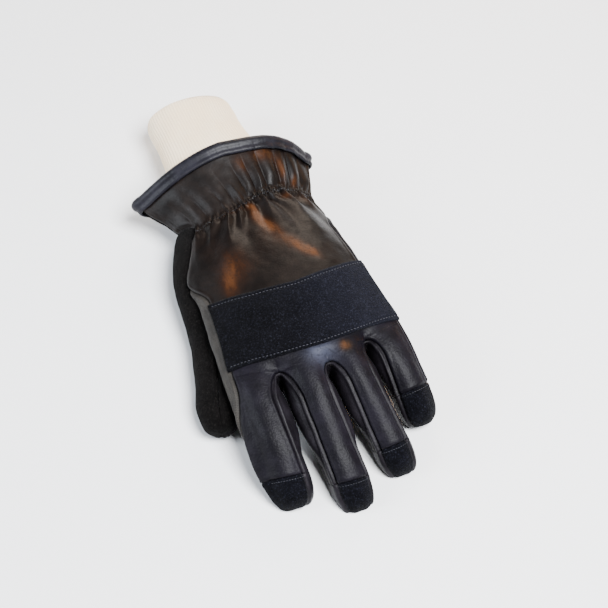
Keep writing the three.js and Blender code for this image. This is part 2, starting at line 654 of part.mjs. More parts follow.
// Suede cap round a fingertip: a hollow cup
function fingertip(number) {
  const finger = FINGERS[number];
  const shift = halfSeam / (finger.tipS - LANES[number].root);
  const flat = steps(-1, 1, ACROSS);
  const heights = steps(1, -1, 2);
  const ring = [
    ...flat.map((across) => (along, inset) => fingerStrip(number, across, along, inset, true)),
    ...heights.map((height) => (along, inset) => fingerSide(number, 1, height, along, inset)),
    ...[...flat].reverse().map((across) => (along, inset) => fingerStrip(number, across, along, inset, false)),
    ...[...heights].reverse().map((height) => (along, inset) => fingerSide(number, -1, height, along, inset)),
  ];
  const capStart = finger.cap + shift;
  const rows = [0, 0.3, 0.55, 0.74, 0.88, 0.965, 1].map((share) => mix(capStart, 1, share));
  return thicken([pairs(rows, ring, (along, at, inset) => onFinger(number, at(along, inset), inset))]);
}

// Suede patch across the knuckles, lying on the leather
function knucklePanel() {
  const rows = steps(0, 1, 7);
  const columns = steps(-1, 1, ACROSS);
  const depths = [-PATCH.lift - PATCH_THICKNESS, -PATCH.lift];
  const grids = FINGERS.map((finger, number) => pairs(rows, columns, (share, across, inset) => {
    const outer = (across < 0 && number === 0) || (across > 0 && number === FINGERS.length - 1);
    const trimmed = outer ? across * PATCH.side : across;
    const root = mix(LANES[number].root, LANES[number + 1].root, (trimmed + 1) / 2);
    const endV = PATCH.endS - (root - ROOT_V) * rowSpread(PATCH.endS);
    return onHand(laneSurface(number, trimmed, mix(PATCH.startV, endV, share), inset, true), 0);
  }, depths));
  return thicken(grids);
}

// Rolled edging round the rim: a U with the panels' edge inside
function cuffBinding() {
  const fold = 1.6;
  const flap = 7;
  const ease = 0.95;
  const slot = WALL + ease;
  const profile = [
    [ease + fold, -flap], [ease + fold, 0.4], [1.1, 2.0], [-WALL / 2, 2.6], [-slot - 0.4, 2.0],
    [-slot - fold, 0.4], [-slot - fold, -flap], [-slot, -flap], [-slot, SEAM_GAP], [ease, SEAM_GAP],
    [ease, -flap],
  ];
  const around = [
    ...steps(-1, 1, 15), ...steps(1, 2, 6).slice(1), ...steps(2, 4, 12).slice(1),
    ...steps(4, 5, 6).slice(1, -1),
  ];
  const rings = around.map((ring) => {
    const edge = handRing(ring, RIM_V, 0);
    const before = handRing(ring, RIM_V + 3, 0);
    const inside = handRing(ring, RIM_V, WALL);
    const along = edge.clone().sub(before).normalize();
    const out = edge.clone().sub(inside);
    out.addScaledVector(along, -out.dot(along)).normalize();
    return profile.map(([side, past]) => {
      const p = edge.clone().addScaledVector(out, side).addScaledVector(along, past);
      p.z = Math.max(p.z, 0);
      return p;
    });
  });
  const points = rings.flat();
  const size = profile.length;
  const index = [];
  rings.forEach((ring, i) => {
    const next = (i + 1) % rings.length;
    for (let j = 0; j < size; j += 1) {
      const k = (j + 1) % size;
      index.push(i * size + j, i * size + k, next * size + k, i * size + j, next * size + k, next * size + j);
    }
  });
  return solidGeometry(points, index);
}

// The knit tube: its root hugs the inside of the gather, and it passes the cuff as a flat oval
function wristletPoint(ring, y, inset) {
  const hug = handRing(ring, 0, WALL + SEAM_GAP + inset, false);
  const middle = { x: CENTRE.x - 1.5, z: WRIST_HEIGHT + 1.5 };
  const turn = Math.atan2((hug.z - middle.z) / 16, (hug.x - middle.x) / 37);
  const read = (name) => column(WRISTLET, 'y', name, y);
  const oval = new THREE.Vector3(
    CENTRE.x + read('x') + (read('halfWidth') - inset) * Math.cos(turn),
    CENTRE.y + y,
    read('z') + (read('halfHeight') - inset) * Math.sin(turn),
  );
  const past = smooth((y - 1) / 13);
  const lowest = TAB.thickness + SEAM_GAP + inset;
  return new THREE.Vector3(
    mix(hug.x, oval.x, past),
    CENTRE.y + y,
    Math.max(mix(hug.z, oval.z, past), y < TAB.end + 3 ? lowest : inset),
  );
}
function wristlet() {
  const rows = [-2, 2, 8, 14, 30, 44, 58, 78, 83, 92, 97, 100];
  const round = (y) => (y > 96 ? KNIT_WALL * 0.45 * ((y - 96) / 4) ** 2 : 0);
  return thicken([pairs(rows, steps(-1, 5, 30), (y, ring, inset) => (
    wristletPoint(ring, y, inset > 0 ? inset - round(y) : round(y))), [0, KNIT_WALL])]);
}

// Suede strip under the wristlet
function wristletTab() {
  const rows = steps(TAB.start, TAB.end, 6);
  return thicken([pairs(rows, steps(-1, 1, 3), (y, across, inset) => {
    const read = (name) => column(WRISTLET, 'y', name, y);
    const reach = (TAB.x + across * TAB.halfWidth - read('x')) / read('halfWidth');
    const hanging = read('z') - read('halfHeight') * Math.sqrt(1 - reach * reach);
    const under = Math.max(hanging, TAB.thickness + SEAM_GAP);
    return new THREE.Vector3(CENTRE.x + TAB.x + across * TAB.halfWidth, CENTRE.y + y, under - inset);
  }, [SEAM_GAP + TAB.thickness, SEAM_GAP])]);
}

// The thumb: one oval tube that leaves the hand at the heel of the palm
function thumbRing(at, inset) {
  const { around } = THUMB_RINGS;
  return steps(0, Math.PI * 2, around).slice(0, around).map((turn) => {
    const wide = Math.max(at.halfWidth - inset, 0.5) * Math.cos(turn);
    const high = Math.max(at.halfHeight - inset, 0.5) * Math.sin(turn);
    const z = Math.max(at.z + high, inset, 0);
    return new THREE.Vector3(CENTRE.x + at.x + wide, CENTRE.y + at.y - 0.25 * wide, z);
  });
}
function thumbSolid(inset) {
  const { even, evenEnd, last, endLength, endSize } = THUMB_RINGS;
  const end = THUMB[THUMB.length - 1].y + inset;
  const stops = [...steps(THUMB[0].y, evenEnd, even), ...last];
  const names = ['x', 'z', 'halfWidth', 'halfHeight'];
  const at = (y) => Object.fromEntries([['y', y], ...names.map((name) => [name, column(THUMB, 'y', name, y)])]);
  const rings = stops.map((y) => thumbRing(at(Math.max(y, end + endLength)), inset));
  const close = at(end + endLength);
  const [halfWidth, halfHeight] = [close.halfWidth * endSize, close.halfHeight * endSize];
  rings.push(thumbRing({ ...close, y: end, halfWidth, halfHeight }, inset));
  return toManifold(closedTube(rings));
}
function handSolid(inset) {
  const rows = [-30, -15, ...steps(0, 110, 11)];
  const around = steps(-1, 5, 30).slice(0, -1);
  return toManifold(closedTube(rows.map((v) => around.map((ring) => handRing(ring, v, inset)))));
}
// Everything on one side of the thumb's upper and lower seams
function thumbHalfSpace(side) {
  const reach = 80;
  const line = THUMB.map((row) => new THREE.Vector2(CENTRE.x + row.x + side * halfSeam, CENTRE.y + row.y));
  line.unshift(new THREE.Vector2(line[0].x, CENTRE.y + 40));
  line.push(new THREE.Vector2(line[line.length - 1].x, CENTRE.y - 170));
  const shape = new THREE.Shape([
    ...line, new THREE.Vector2(line[line.length - 1].x + side * reach, CENTRE.y - 170),
    new THREE.Vector2(line[line.length - 1].x + side * reach, CENTRE.y + 40),
  ]);
  const prism = new THREE.ExtrudeGeometry(shape, { depth: 80, bevelEnabled: false });
  prism.translate(0, 0, -10);
  return toManifold(prism);
}

const group = new THREE.Group();
function addNode(name, geometry, look) {
  const mesh = new THREE.Mesh(geometry, new THREE.MeshStandardMaterial({ ...look, metalness: 0 }));
  mesh.name = name;
  group.add(mesh);
}

const thumbCut = thumbSolid(-SEAM_GAP);
const withoutThumb = (geometry) => fromManifold(largest(toManifold(geometry).subtract(thumbCut)));
const thumbShell = thumbSolid(0).subtract(thumbSolid(WALL)).subtract(handSolid(-0.001));

addNode('back_panel', withoutThumb(backPanel()), LEATHER);
addNode('knuckle_panel', knucklePanel(), SUEDE);
addNode('finger_back_panel', fingersPanel(PANEL_END_V, true), LEATHER);
FINGERS.forEach((finger, number) => addNode(`fingertip_${finger.name}`, fingertip(number), SUEDE));
addNode('palm_panel', withoutThumb(palmPanel()), SUEDE);
addNode('palm_finger_panel', fingersPanel(PALM_END_V, false), SUEDE);
for (let number = 0; number + 1 < FINGERS.length; number += 1) {
  addNode(`fourchette_${FINGERS[number].name}_${FINGERS[number + 1].name}`, fourchette(number), LEATHER);
}
addNode('index_side_gusset', withoutThumb(sideGusset(0, -1, leftShare, 46)), LEATHER);
addNode('little_side_gusset', sideGusset(3, 1, rightShare, 12), LEATHER);
addNode('thumb_back', fromManifold(largest(thumbShell.intersect(thumbHalfSpace(-1)))), SUEDE);
addNode('thumb_front', fromManifold(largest(thumbShell.intersect(thumbHalfSpace(1)))), SUEDE);
addNode('cuff_binding', cuffBinding(), LEATHER);
addNode('wristlet', wristlet(), KNIT);
addNode('wristlet_tab', wristletTab(), SUEDE);

export default group;
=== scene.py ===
# Leather firefighter glove, left hand, lying palm down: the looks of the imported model.
# Shapes are worked out in millimetres with the part's own tables and axes; the meshes are in metres.
import json

import bmesh
import bpy
import numpy as np
from mathutils import Matrix, Vector
from mathutils.kdtree import KDTree

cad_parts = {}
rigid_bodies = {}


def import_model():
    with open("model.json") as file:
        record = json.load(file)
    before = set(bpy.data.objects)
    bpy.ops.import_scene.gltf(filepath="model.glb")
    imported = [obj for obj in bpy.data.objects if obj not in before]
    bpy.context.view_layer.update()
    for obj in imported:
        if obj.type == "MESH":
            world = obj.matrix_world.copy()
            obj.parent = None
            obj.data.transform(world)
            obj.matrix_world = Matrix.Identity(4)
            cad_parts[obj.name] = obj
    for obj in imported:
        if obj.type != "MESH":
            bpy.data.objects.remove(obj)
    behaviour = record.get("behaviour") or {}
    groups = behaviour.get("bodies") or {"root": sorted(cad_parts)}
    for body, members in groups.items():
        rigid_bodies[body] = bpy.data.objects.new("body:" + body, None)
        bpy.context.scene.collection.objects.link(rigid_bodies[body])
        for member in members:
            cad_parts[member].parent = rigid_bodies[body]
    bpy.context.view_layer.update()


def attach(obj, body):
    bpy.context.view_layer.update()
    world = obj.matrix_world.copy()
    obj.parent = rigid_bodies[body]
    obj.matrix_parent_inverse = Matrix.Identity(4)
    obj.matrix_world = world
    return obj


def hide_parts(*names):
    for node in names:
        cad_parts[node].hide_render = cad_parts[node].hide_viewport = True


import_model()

# The part's own sizes
MM = 0.001
WALL = 2.0
SEAM_GAP = 0.3
PATCH_THICKNESS = 1.5
KNIT_WALL = 3.0
CENTRE = np.array([9.3, 51.0])
WRIST_HEIGHT = 19.5
RIM_V = -38
PANEL_END_V = 80
PALM_END_V = 104
VALLEY_V = 104
ROOT_V = 115
SPREAD_V = 40
PATCH = dict(start_v=66, end_s=112, side=0.97, lift=0.55)
ROW_BOW = 6
RIM_BOW = dict(left=0.16, left_power=0.85, right=0.12, right_power=6.0, under=0.075)


def table(names, rows):
    """A table's columns by name."""
    return {name: np.array(values, float) for name, values in zip(names.split(), zip(*rows))}


# A place on the hand is a row v, in millimetres from the gather towards the fingers, and a place across,
# from -1 at the left edge to 1 at the right. s is the station along the hand's middle line: rows follow
# it at the gather, and bend towards the crotches and the rim.
# Sections of the hand form, by their stations
HAND_COLUMNS = ("s left right top_seam top_crown low_seam low_crown left_bulge right_bulge "
                "left_round right_round")
HAND = table(HAND_COLUMNS, [
    (-38, -62.5, 48.5, 6, 25.0, -5, 16.0, 5.0, 5.0, 1.9, 3.0),
    (-22, -54.5, 45.0, 5, 21.0, -5, 14.5, 4.5, 4.5, 2.2, 2.7),
    (-10, -46.0, 42.0, 4, 18.5, -5, 16.0, 4.0, 4.0, 2.4, 2.4),
    (0, -42.0, 39.0, 4, 17.5, -5, 16.5, 4.0, 4.0, 2.4, 2.4),
    (14, -45.0, 42.0, 5, 18.5, -5, 17.0, 4.0, 4.0, 2.4, 2.4),
    (38, -50.0, 43.5, 8, 15.5, -5, 18.0, 4.2, 3.5, 2.4, 2.4),
    (60, -48.4, 45.0, 9, 13.0, -4, 15.0, 5.0, 3.0, 2.4, 2.4),
    (84, -49.2, 46.5, 9, 11.5, -4, 14.0, 6.2, 2.5, 2.4, 2.4),
    (118, -52.8, 51.0, 8, 11.0, -4.5, 11.5, 4.6, 2.0, 2.4, 2.4),
    (135, -53.0, 51.5, 7, 11.0, -4.5, 10.0, 4.0, 2.0, 2.4, 2.4),
])
# How steeply the hand's middle line runs down at each station, in degrees
PITCH = table("s down", [(-60, 7), (-20, 6), (0, 3), (20, -8), (65, -4), (92, 2), (115, 4)])
# The lines between the fingers: place across, station of the crotch, how far the leather dips there on top
# and below, and the share of the finger from which its walls draw apart
LANES = table("across root top_dip low_dip apart", [
    (-1, 116, 0, 0, 0), (-0.518, 123, 5, 3.5, 0.32), (0.028, 127, 5, 3.5, 0.32), (0.524, 120, 5, 3.5, 0.15),
    (1, 114, 0, 0, 0),
])
FINGER_COLUMNS = "name tip_x tip_s half_width cap down root_swell swell".split()
FINGERS = [dict(zip(FINGER_COLUMNS, row)) for row in (
    ("index", -40, 194, 11.5, 0.75, (7, 13, 13), 2.7, 3.6),
    ("middle", -8.5, 207, 11, 0.77, (7, 12, 15), 0, 0),
    ("ring", 22.8, 196, 10.8, 0.74, (7, 15, 15), 0, 0),
    ("little", 44.5, 172, 10.5, 0.6, (12, 15, 15), 0, 0),
)]
FINGER_GAP = 4.7
FINGER = dict(top_seam=4.5, top_crown=6.5, low_seam=-4.5, low_crown=5.0, bulge=2.0)
FORK = dict(bulge=3.4, tip_bulge=0.4, crotch=0.05, fade=0.36)
CROTCH_LENGTH = 0.13
TIP = dict(profile_radius=12, plan_radius=16, plan_keep=0.38, power=2.1)
THUMB = table("y x z half_width half_height", [
    (8, -28, 18, 13, 9), (-10, -32, 17.5, 19, 12), (-34, -39, 17, 20.5, 13), (-54, -44.5, 14.5, 17.5, 12.5),
    (-78, -50, 12, 14, 11.2), (-102, -56.5, 11.2, 13, 10.6), (-119, -62, 10.6, 12.2, 10.1),
    (-135, -65.8, 9.6, 8.5, 8),
])
THUMB_SLANT = 0.25
THUMB_END = dict(radius=6.5, power=2.4, rows_from=-126)
WRISTLET = table("y x z half_width half_height", [
    (14, -2.5, 22.6, 35, 15), (30, -3.5, 23.6, 34.5, 16), (44, -4.8, 22.0, 33, 17.6),
    (58, -6, 20.6, 30.5, 18.0), (78, -7, 19.2, 29, 17.5), (92, -7, 17.8, 30, 18.2),
    (100, -7, 17.4, 29.5, 18.0),
])
TAB = dict(x=-5, half_width=11, start=37, end=79, thickness=1.5)
WAIST = dict(depth=1.6, half_length=5)
# How far below row 0 the elastic runs, by its place across the back
GATHER_LINE = table("across down", [
    (-1.7, 0), (-1.2, 5), (-0.8, 8), (-0.25, 8), (0.1, 1.5), (0.45, -2), (0.95, -2.5), (1.6, 0),
])

# Folds, as the photograph shows them
# Creases between the cuff's flutes: place across the back, and how high the leather swells after each
FLUTES = table("across height", [
    (-1.12, 1.2), (-0.86, 1.8), (-0.66, 1.9), (-0.40, 1.6), (-0.22, 2.0), (0.02, 1.8),
    (0.18, 2.6), (0.36, 3.0), (0.58, 2.8), (0.74, 2.6), (0.90, 2.0), (1.12, 0),
])
FLUTE_ROWS = dict(rim=-38, full=-13, gather=0)
# Small pleats side by side at the elastic: how many, the rows where they start and end, their height
# and how sharp the valleys are
PUCKERS = dict(count=22, start=-11.0, peak=0.5, end=15.0, height=2.6, uneven=0.6, seed=9, power=0.55)
KNOBS = dict(count=42, start=-6.5, peak=0.0, end=7.5, height=2.5, uneven=0.5, seed=4, power=0.65)
ELASTIC = dict(depth=0.8, half_width=0.9)
# Narrow sharp folds beside the elastic: place across at both ends, rows, half width and height
CRESTS = table("from_across to_across start end width height", [
    (0.185, 0.205, 4, 30, 0.026, 2.2),
    (0.56, 0.68, 1, 26, 0.028, 1.9),
    (-0.36, -0.46, 1, 34, 0.034, 1.8),
    (-0.20, -0.25, 1, 24, 0.026, 1.6),
    (-0.60, -0.72, 0, 26, 0.030, 1.3),
    (0.02, 0.05, 1, 22, 0.026, 1.6),
    (0.34, 0.44, 0, 20, 0.024, 1.3),
    (0.80, 0.92, 0, 20, 0.028, 1.3),
    (-0.46, -0.34, -24, -1, 0.026, 1.3),
    (-0.16, -0.10, -28, -1, 0.024, 1.2),
    (0.28, 0.26, -26, -1, 0.024, 1.3),
    (0.66, 0.62, -24, -1, 0.026, 1.3),
])
# Single folds from the gather down the back: place across at both ends, rows, width across and height
BACK_FOLDS = table("from_across to_across start end width height", [
    (-0.80, -0.92, -1, 34, 0.09, 2.0),
    (-0.52, -0.74, -2, 30, 0.06, 1.3),
    (-0.32, -0.60, -2, 58, 0.13, 2.6),
    (-0.14, -0.26, -3, 26, 0.05, 1.5),
    (-0.02, -0.04, -3, 22, 0.05, 1.2),
    (0.14, 0.34, -2, 44, 0.08, 2.5),
    (0.33, 0.52, -3, 26, 0.05, 1.7),
    (0.50, 0.80, -1, 60, 0.11, 2.6),
    (0.78, 0.96, -3, 36, 0.10, 2.2),
])


# Small maths
def mix(start, end, share):
    return start + (end - start) * share


def smooth(share):
    t = np.clip(share, 0, 1)
    return t * t * (3 - 2 * t)


def crown(across, power=2.4):
    return 1 - np.abs(across) ** power


def column(rows, key, name, at):
    """A smooth curve through one column of a table."""
    x, y = rows[key], rows[name]
    if x[-1] < x[0]:
        x, at = -x, -np.asarray(at, float)
    at = np.clip(at, x[0], x[-1])
    k = np.clip(np.searchsorted(x, at) - 1, 0, len(x) - 2)
    before = np.maximum(np.arange(len(x)) - 1, 0)
    after = np.minimum(np.arange(len(x)) + 1, len(x) - 1)
    slope = (y[after] - y[before]) / (x[after] - x[before])
    span = x[k + 1] - x[k]
    u = (at - x[k]) / span
    u2, u3 = u * u, u * u * u
    return ((2 * u3 - 3 * u2 + 1) * y[k] + (u3 - 2 * u2 + u) * span * slope[k]
            + (3 * u2 - 2 * u3) * y[k + 1] + (u3 - u2) * span * slope[k + 1])


def spread(start, end, count, edge=0.0):
    """Steps from start to end, closer together at both ends as edge goes from 0 to 1."""
    t = np.linspace(0, 1, count + 1)
    return mix(start, end, mix(t, 0.5 - 0.5 * np.cos(np.pi * t), edge))


def unit(vectors):
    return vectors / np.maximum(np.linalg.norm(vectors, axis=-1, keepdims=True), 1e-9)


def lattice_noise(points, size, seed):
    """Smooth noise from -1 to 1 in space, its lumps about size millimetres."""
    p = np.asarray(points, float) / size
    cell = np.floor(p).astype(int)
    t = smooth(p - cell)
    values = np.random.default_rng(seed).uniform(-1, 1, 4096)
    total = 0
    for dx in (0, 1):
        for dy in (0, 1):
            for dz in (0, 1):
                corner = cell + (dx, dy, dz)
                picked = values[(corner[..., 0] * 73 + corner[..., 1] * 179 + corner[..., 2] * 283) % 4096]
                weight = (np.where(dx, t[..., 0], 1 - t[..., 0]) * np.where(dy, t[..., 1], 1 - t[..., 1])
                          * np.where(dz, t[..., 2], 1 - t[..., 2]))
                total = total + picked * weight
    return total


# The hand form
class Spine:
    """The middle line of the hand or of one finger, from its pitch at each millimetre."""

    start = -60

    def __init__(self, pitch_at, end):
        self.s = np.arange(self.start, end + 1.0)
        middle = np.radians(pitch_at(self.s[:-1] + 0.5))
        self.pitch = np.radians(pitch_at(self.s))
        self.forward = np.concatenate([[0], np.cumsum(np.cos(middle))])
        self.z = np.concatenate([[0], -np.cumsum(np.sin(middle))])
        self.forward -= np.interp(0, self.s, self.forward)
        self.z += WRIST_HEIGHT - np.interp(0, self.s, self.z)

    def place(self, flat, inset=0.0):
        """The point beside the line; what would reach under the floor is pressed flat on it."""
        x, s, h = np.broadcast_arrays(*flat)
        forward, z, pitch = (np.interp(s, self.s, v) for v in (self.forward, self.z, self.pitch))
        height = np.maximum(z + h * np.cos(pitch), max(inset, 0))
        return np.stack([x + CENTRE[0], CENTRE[1] - (forward + h * np.sin(pitch)), height], -1)


def hand_pitch(s):
    return column(PITCH, "s", "down", s)


def finger_pitch(number):
    finger = FINGERS[number]
    root = max(LANES["root"][number], LANES["root"][number + 1])
    near, middle, far = finger["down"]

    def pitch(s):
        along = (s - root) / (finger["tip_s"] - root)
        return (hand_pitch(s) + near * smooth(along / 0.3) + middle * smooth((along - 0.32) / 0.22)
                + far * smooth((along - 0.62) / 0.22))
    return pitch


HAND_LINE = Spine(hand_pitch, 140)
FINGER_LINES = [Spine(finger_pitch(number), 220) for number in range(4)]


def section(s):
    return {name: column(HAND, "s", name, s) for name in HAND if name != "s"}


def surface(across, s, inset, upper):
    """x, station and height on the hand's upper or lower surface."""
    r = section(s)
    x = mix(r["left"] + inset, r["right"] - inset, (across + 1) / 2)
    roundness = np.where(across < 0, r["left_round"], r["right_round"])
    top = r["top_seam"] - 0.4 * inset + (r["top_crown"] - 0.6 * inset) * crown(across, roundness)
    low = r["low_seam"] + 0.4 * inset - (r["low_crown"] - 0.6 * inset) * crown(across)
    return x, s, np.where(upper, top, low)


def inner_lane(lane):
    return 0 < lane < 4


def root_station(lane, inset):
    return LANES["root"][lane] - (inset if inner_lane(lane) else 0)


def lane_edge(lane, s, inset, upper):
    """A lane edge's own point, dipped between the fingers."""
    across = LANES["across"][lane]
    x, s, h = surface(across, s, inset, upper)
    if inner_lane(lane):
        x = surface(across, s, 0, upper)[0]
    return x, s, h + (-LANES["top_dip"][lane] if upper else LANES["low_dip"][lane])


def row_spread(v):
    return smooth((v - SPREAD_V) / (ROOT_V - SPREAD_V))


def station(across, v, inset, upper):
    roots = np.array([root_station(lane, inset) for lane in range(5)])
    root = np.interp(across, LANES["across"], roots)
    bow = ROW_BOW * (1 - across ** 2) * smooth(v / 40) * (1 - smooth((v - 95) / 20))
    on_hand = v + row_spread(v) * (root - ROOT_V) + np.where(upper, bow, 0)
    ends = (RIM_BOW[side] * np.where(upper, np.abs(across) ** RIM_BOW[side + "_power"], 1)
            for side in ("left", "right"))
    under = np.where(upper, 0, RIM_BOW["under"] * (1 - across ** 2))
    return np.where(v < 0, v * (1 - mix(*ends, smooth((across + 1) / 2)) - under), on_hand)


def hand_side(side, height, v, inset):
    """The hand's side strip, from its lower seam at -1 to its upper one at 1."""
    s = station(side, v, inset, True)
    x, _, top = surface(side, s, inset, True)
    low = surface(side, s, inset, False)[2]
    r = section(s)
    bulge = np.where(side < 0, r["left_bulge"], r["right_bulge"]) * crown(height, 2)
    return x + side * bulge, s, mix(low, top, (height + 1) / 2)


def pleats(across, v, kind):
    """Height of a row of pleats: rounded crests with sharp valleys between them, each of its own size."""
    random = np.random.default_rng(kind["seed"])
    size = int(kind["count"] * 3) + 8
    heights = 1 - kind["uneven"] * random.uniform(0, 1, size)
    starts, ends = random.uniform(0.0, 0.35, (2, size))
    lean = 0.05 * np.sin(4.1 * across + 0.8) + 0.03 * np.sin(11 * across + kind["seed"])
    lean = lean + 0.0012 * v * np.sin(7 * across)
    place = (across + lean) * kind["count"] / 2 + size / 2
    number = np.clip(np.floor(place).astype(int), 0, size - 1)
    wave = np.sin(np.pi * (place - np.floor(place))) ** kind["power"]
    rise = mix(kind["start"], kind["peak"], starts[number])
    fall = mix(kind["end"], kind["peak"], ends[number])
    envelope = smooth((v - rise) / (kind["peak"] - rise)) * smooth((fall - v) / (fall - kind["peak"]))
    return kind["height"] * heights[number] * wave * envelope


def flutes(across, v):
    """Height of the cuff's flutes, rounded between sharp creases."""
    x, (rim, full, end) = FLUTES["across"], FLUTE_ROWS.values()
    k = np.clip(np.searchsorted(x, across, side="right") - 1, 0, len(x) - 2)
    share = np.clip((across - x[k]) / (x[k + 1] - x[k]), 0, 1)
    along = smooth((v - rim) / (full - rim)) * smooth((end - v) / (end - full))
    return FLUTES["height"][k] * np.maximum(np.sin(np.pi * share), 0) ** 0.75 * along


def back_folds(across, v):
    """Height of the single folds below the gather."""
    total = 0
    for k in range(len(BACK_FOLDS["start"])):
        start, end = BACK_FOLDS["start"][k], BACK_FOLDS["end"][k]
        t = np.clip((v - start) / (end - start), 0, 1)
        middle = mix(BACK_FOLDS["from_across"][k], BACK_FOLDS["to_across"][k], t ** 0.8)
        width = BACK_FOLDS["width"][k] * mix(0.7, 1.9, t)
        off = (across - middle) / width
        ridge = np.exp(-np.abs(off) ** 1.7) - 0.25 * np.exp(-((np.abs(off) - 1.5) / 0.6) ** 2)
        total = total + BACK_FOLDS["height"][k] * ridge * smooth(t / 0.18) * (1 - smooth((t - 0.35) / 0.65))
    return total


def crests(across, v):
    """Height of the narrow sharp folds on both sides of the elastic."""
    total = 0
    for a, b, start, end, width, height in zip(*CRESTS.values()):
        t = np.clip((v - start) / (end - start), 0, 1)
        near = t if start > -10 else 1 - t
        off = np.abs(across - mix(a, b, t)) / (width * mix(0.7, 1.8, near))
        faded = smooth(near / 0.12) * (1 - smooth((near - 0.2) / 0.8))
        total = total + height * np.exp(-off ** 1.25) * faded
    return total


def gather(ring, v, folded):
    """Height of everything that the elastic does to the leather, at a place round the hand."""
    beside = np.where(np.abs(ring) > 3, np.abs(ring - 6), np.abs(ring))
    signed = np.where(ring > 3, ring - 6, ring)
    on_back = smooth((1.6 - beside) / 0.6)
    across = np.clip(signed, -2.5, 2.5)
    v = v - column(GATHER_LINE, "across", "down", across)
    waist = WAIST["depth"] * np.exp(-((v / WAIST["half_length"]) ** 2)) * mix(0.35, 1, on_back)
    if not folded:
        return -waist
    folds = flutes(across, v) + pleats(across, v, PUCKERS) + back_folds(across, v)
    folds = folds + pleats(across, v, KNOBS) + crests(across, v)
    folds = folds - ELASTIC["depth"] * np.exp(-((v / ELASTIC["half_width"]) ** 2))
    under = 0.35 * pleats(across * 1.3, v, PUCKERS) * (1 - on_back)
    return folds * on_back + under - waist


def hand_ring(ring, v, inset=0.0, folded=True):
    """A point of the hand. ring runs from -1 to 1 over the back, to 2 down the right side, to 4 under
    the palm and to 5 up the left side; v is the row, counted from the gather."""
    ring, v = np.broadcast_arrays(np.asarray(ring, float), np.asarray(v, float))
    q = np.where(ring < -2, ring + 6, ring)
    on_back, on_palm = np.abs(q) <= 1, (q >= 2) & (q <= 4)
    side = np.where((q > 0) & (q < 2), 1.0, -1.0)
    across = np.clip(np.where(on_back, q, np.where(on_palm, 3 - q, side)), -1, 1)
    height = np.where(side > 0, 3 - 2 * q, np.where(q < 0, 2 * q + 3, 2 * q - 9))
    flat = surface(across, station(across, v, inset, ~on_palm), inset, on_back)
    beside = hand_side(side, np.clip(height, -1, 1), v, inset)
    x, s, h = (np.where(on_back | on_palm, a, b) for a, b in zip(flat, beside))
    rise = gather(q, v, folded)
    r = section(s)
    out = unit(np.stack([(x - (r["left"] + r["right"]) / 2) / 45 ** 2, h / 20 ** 2], -1))
    return HAND_LINE.place((x + out[..., 0] * rise, s, h + out[..., 1] * rise), inset)


def tip_round(left, radius, power):
    q = np.clip(1 - left / radius, 0, 1)
    return np.maximum(1 - q ** power, 0) ** (1 / power)


def gap_opening(along):
    return np.sqrt(1 - (1 - np.clip(along / CROTCH_LENGTH, 0, 1)) ** 2)


def finger_edge(number, side, along, inset):
    """One finger's seam lines, from the crotch at along = 0 to the tip at 1."""
    finger = FINGERS[number]
    lane = number if side < 0 else number + 1
    start = root_station(lane, inset)
    tip = finger["tip_s"] - inset
    s = mix(start, tip, along)
    x, _, root_top = lane_edge(lane, start, inset, True)
    root_low = lane_edge(lane, start, inset, False)[2]
    opened = side * (FINGER_GAP + inset) * gap_opening(along) if inner_lane(lane) else 0
    full = mix(x - opened, finger["tip_x"] + side * (finger["half_width"] - inset), along)
    keep = mix(TIP["plan_keep"], 1, tip_round(tip - s, TIP["plan_radius"], 2.2))
    x = np.where(tip - s < TIP["plan_radius"], finger["tip_x"] + (full - finger["tip_x"]) * keep, full)
    fade = 1 - smooth(along / 0.55)
    rounded = tip_round(tip - s, TIP["profile_radius"] - inset, TIP["power"])
    return dict(
        x=x, s=s, fade=fade, round=rounded, root_top=root_top, root_low=root_low,
        top=mix(FINGER["top_seam"] - 0.4 * inset, root_top, fade) * rounded,
        low=mix(FINGER["low_seam"] + 0.4 * inset, root_low, fade) * rounded,
    )


def finger_strip(number, across, along, inset, upper):
    """A place on the finger's upper or lower strip."""
    left = finger_edge(number, -1, along, inset)
    right = finger_edge(number, 1, along, inset)
    share = (across + 1) / 2
    middle = (LANES["across"][number] + LANES["across"][number + 1]) / 2
    root = (root_station(number, inset) + root_station(number + 1, inset)) / 2
    centre = surface(middle, root, inset, upper)[2]
    key = "top" if upper else "low"
    edges = (left["root_" + key] + right["root_" + key]) / 2
    far = FINGER["top_crown"] - 0.6 * inset if upper else -(FINGER["low_crown"] - 0.6 * inset)
    fade, rounded = ((left[name] + right[name]) / 2 for name in ("fade", "round"))
    h = mix(left[key], right[key], share) + mix(far, centre - edges, fade) * rounded * crown(across)
    return mix(left["x"], right["x"], share), mix(left["s"], right["s"], share), h


def finger_side(number, side, height, along, inset):
    """A place on the finger's side strip."""
    edge = finger_edge(number, side, along, inset)
    lane = number if side < 0 else number + 1
    outer = not inner_lane(lane)
    faded = smooth((along - LANES["apart"][lane]) / FORK["fade"])
    fork = mix(FORK["bulge"], FORK["tip_bulge"], faded) * (1 - np.exp(-along / FORK["crotch"]))
    finger = FINGERS[number]
    swell = mix(finger["root_swell"], finger["swell"], smooth(along / 0.35))
    swell = swell * (1 - smooth((along - 0.6) / 0.35))
    bulge = FINGER["bulge"] + swell if outer else fork
    back = 0 if outer else SEAM_GAP * (1 - gap_opening(along))
    x = edge["x"] + side * bulge * edge["round"] * crown(height, 2)
    return x, edge["s"] + back, mix(edge["low"], edge["top"], (height + 1) / 2)


def on_finger(number, flat, inset=0.0):
    return FINGER_LINES[number].place(flat, inset)


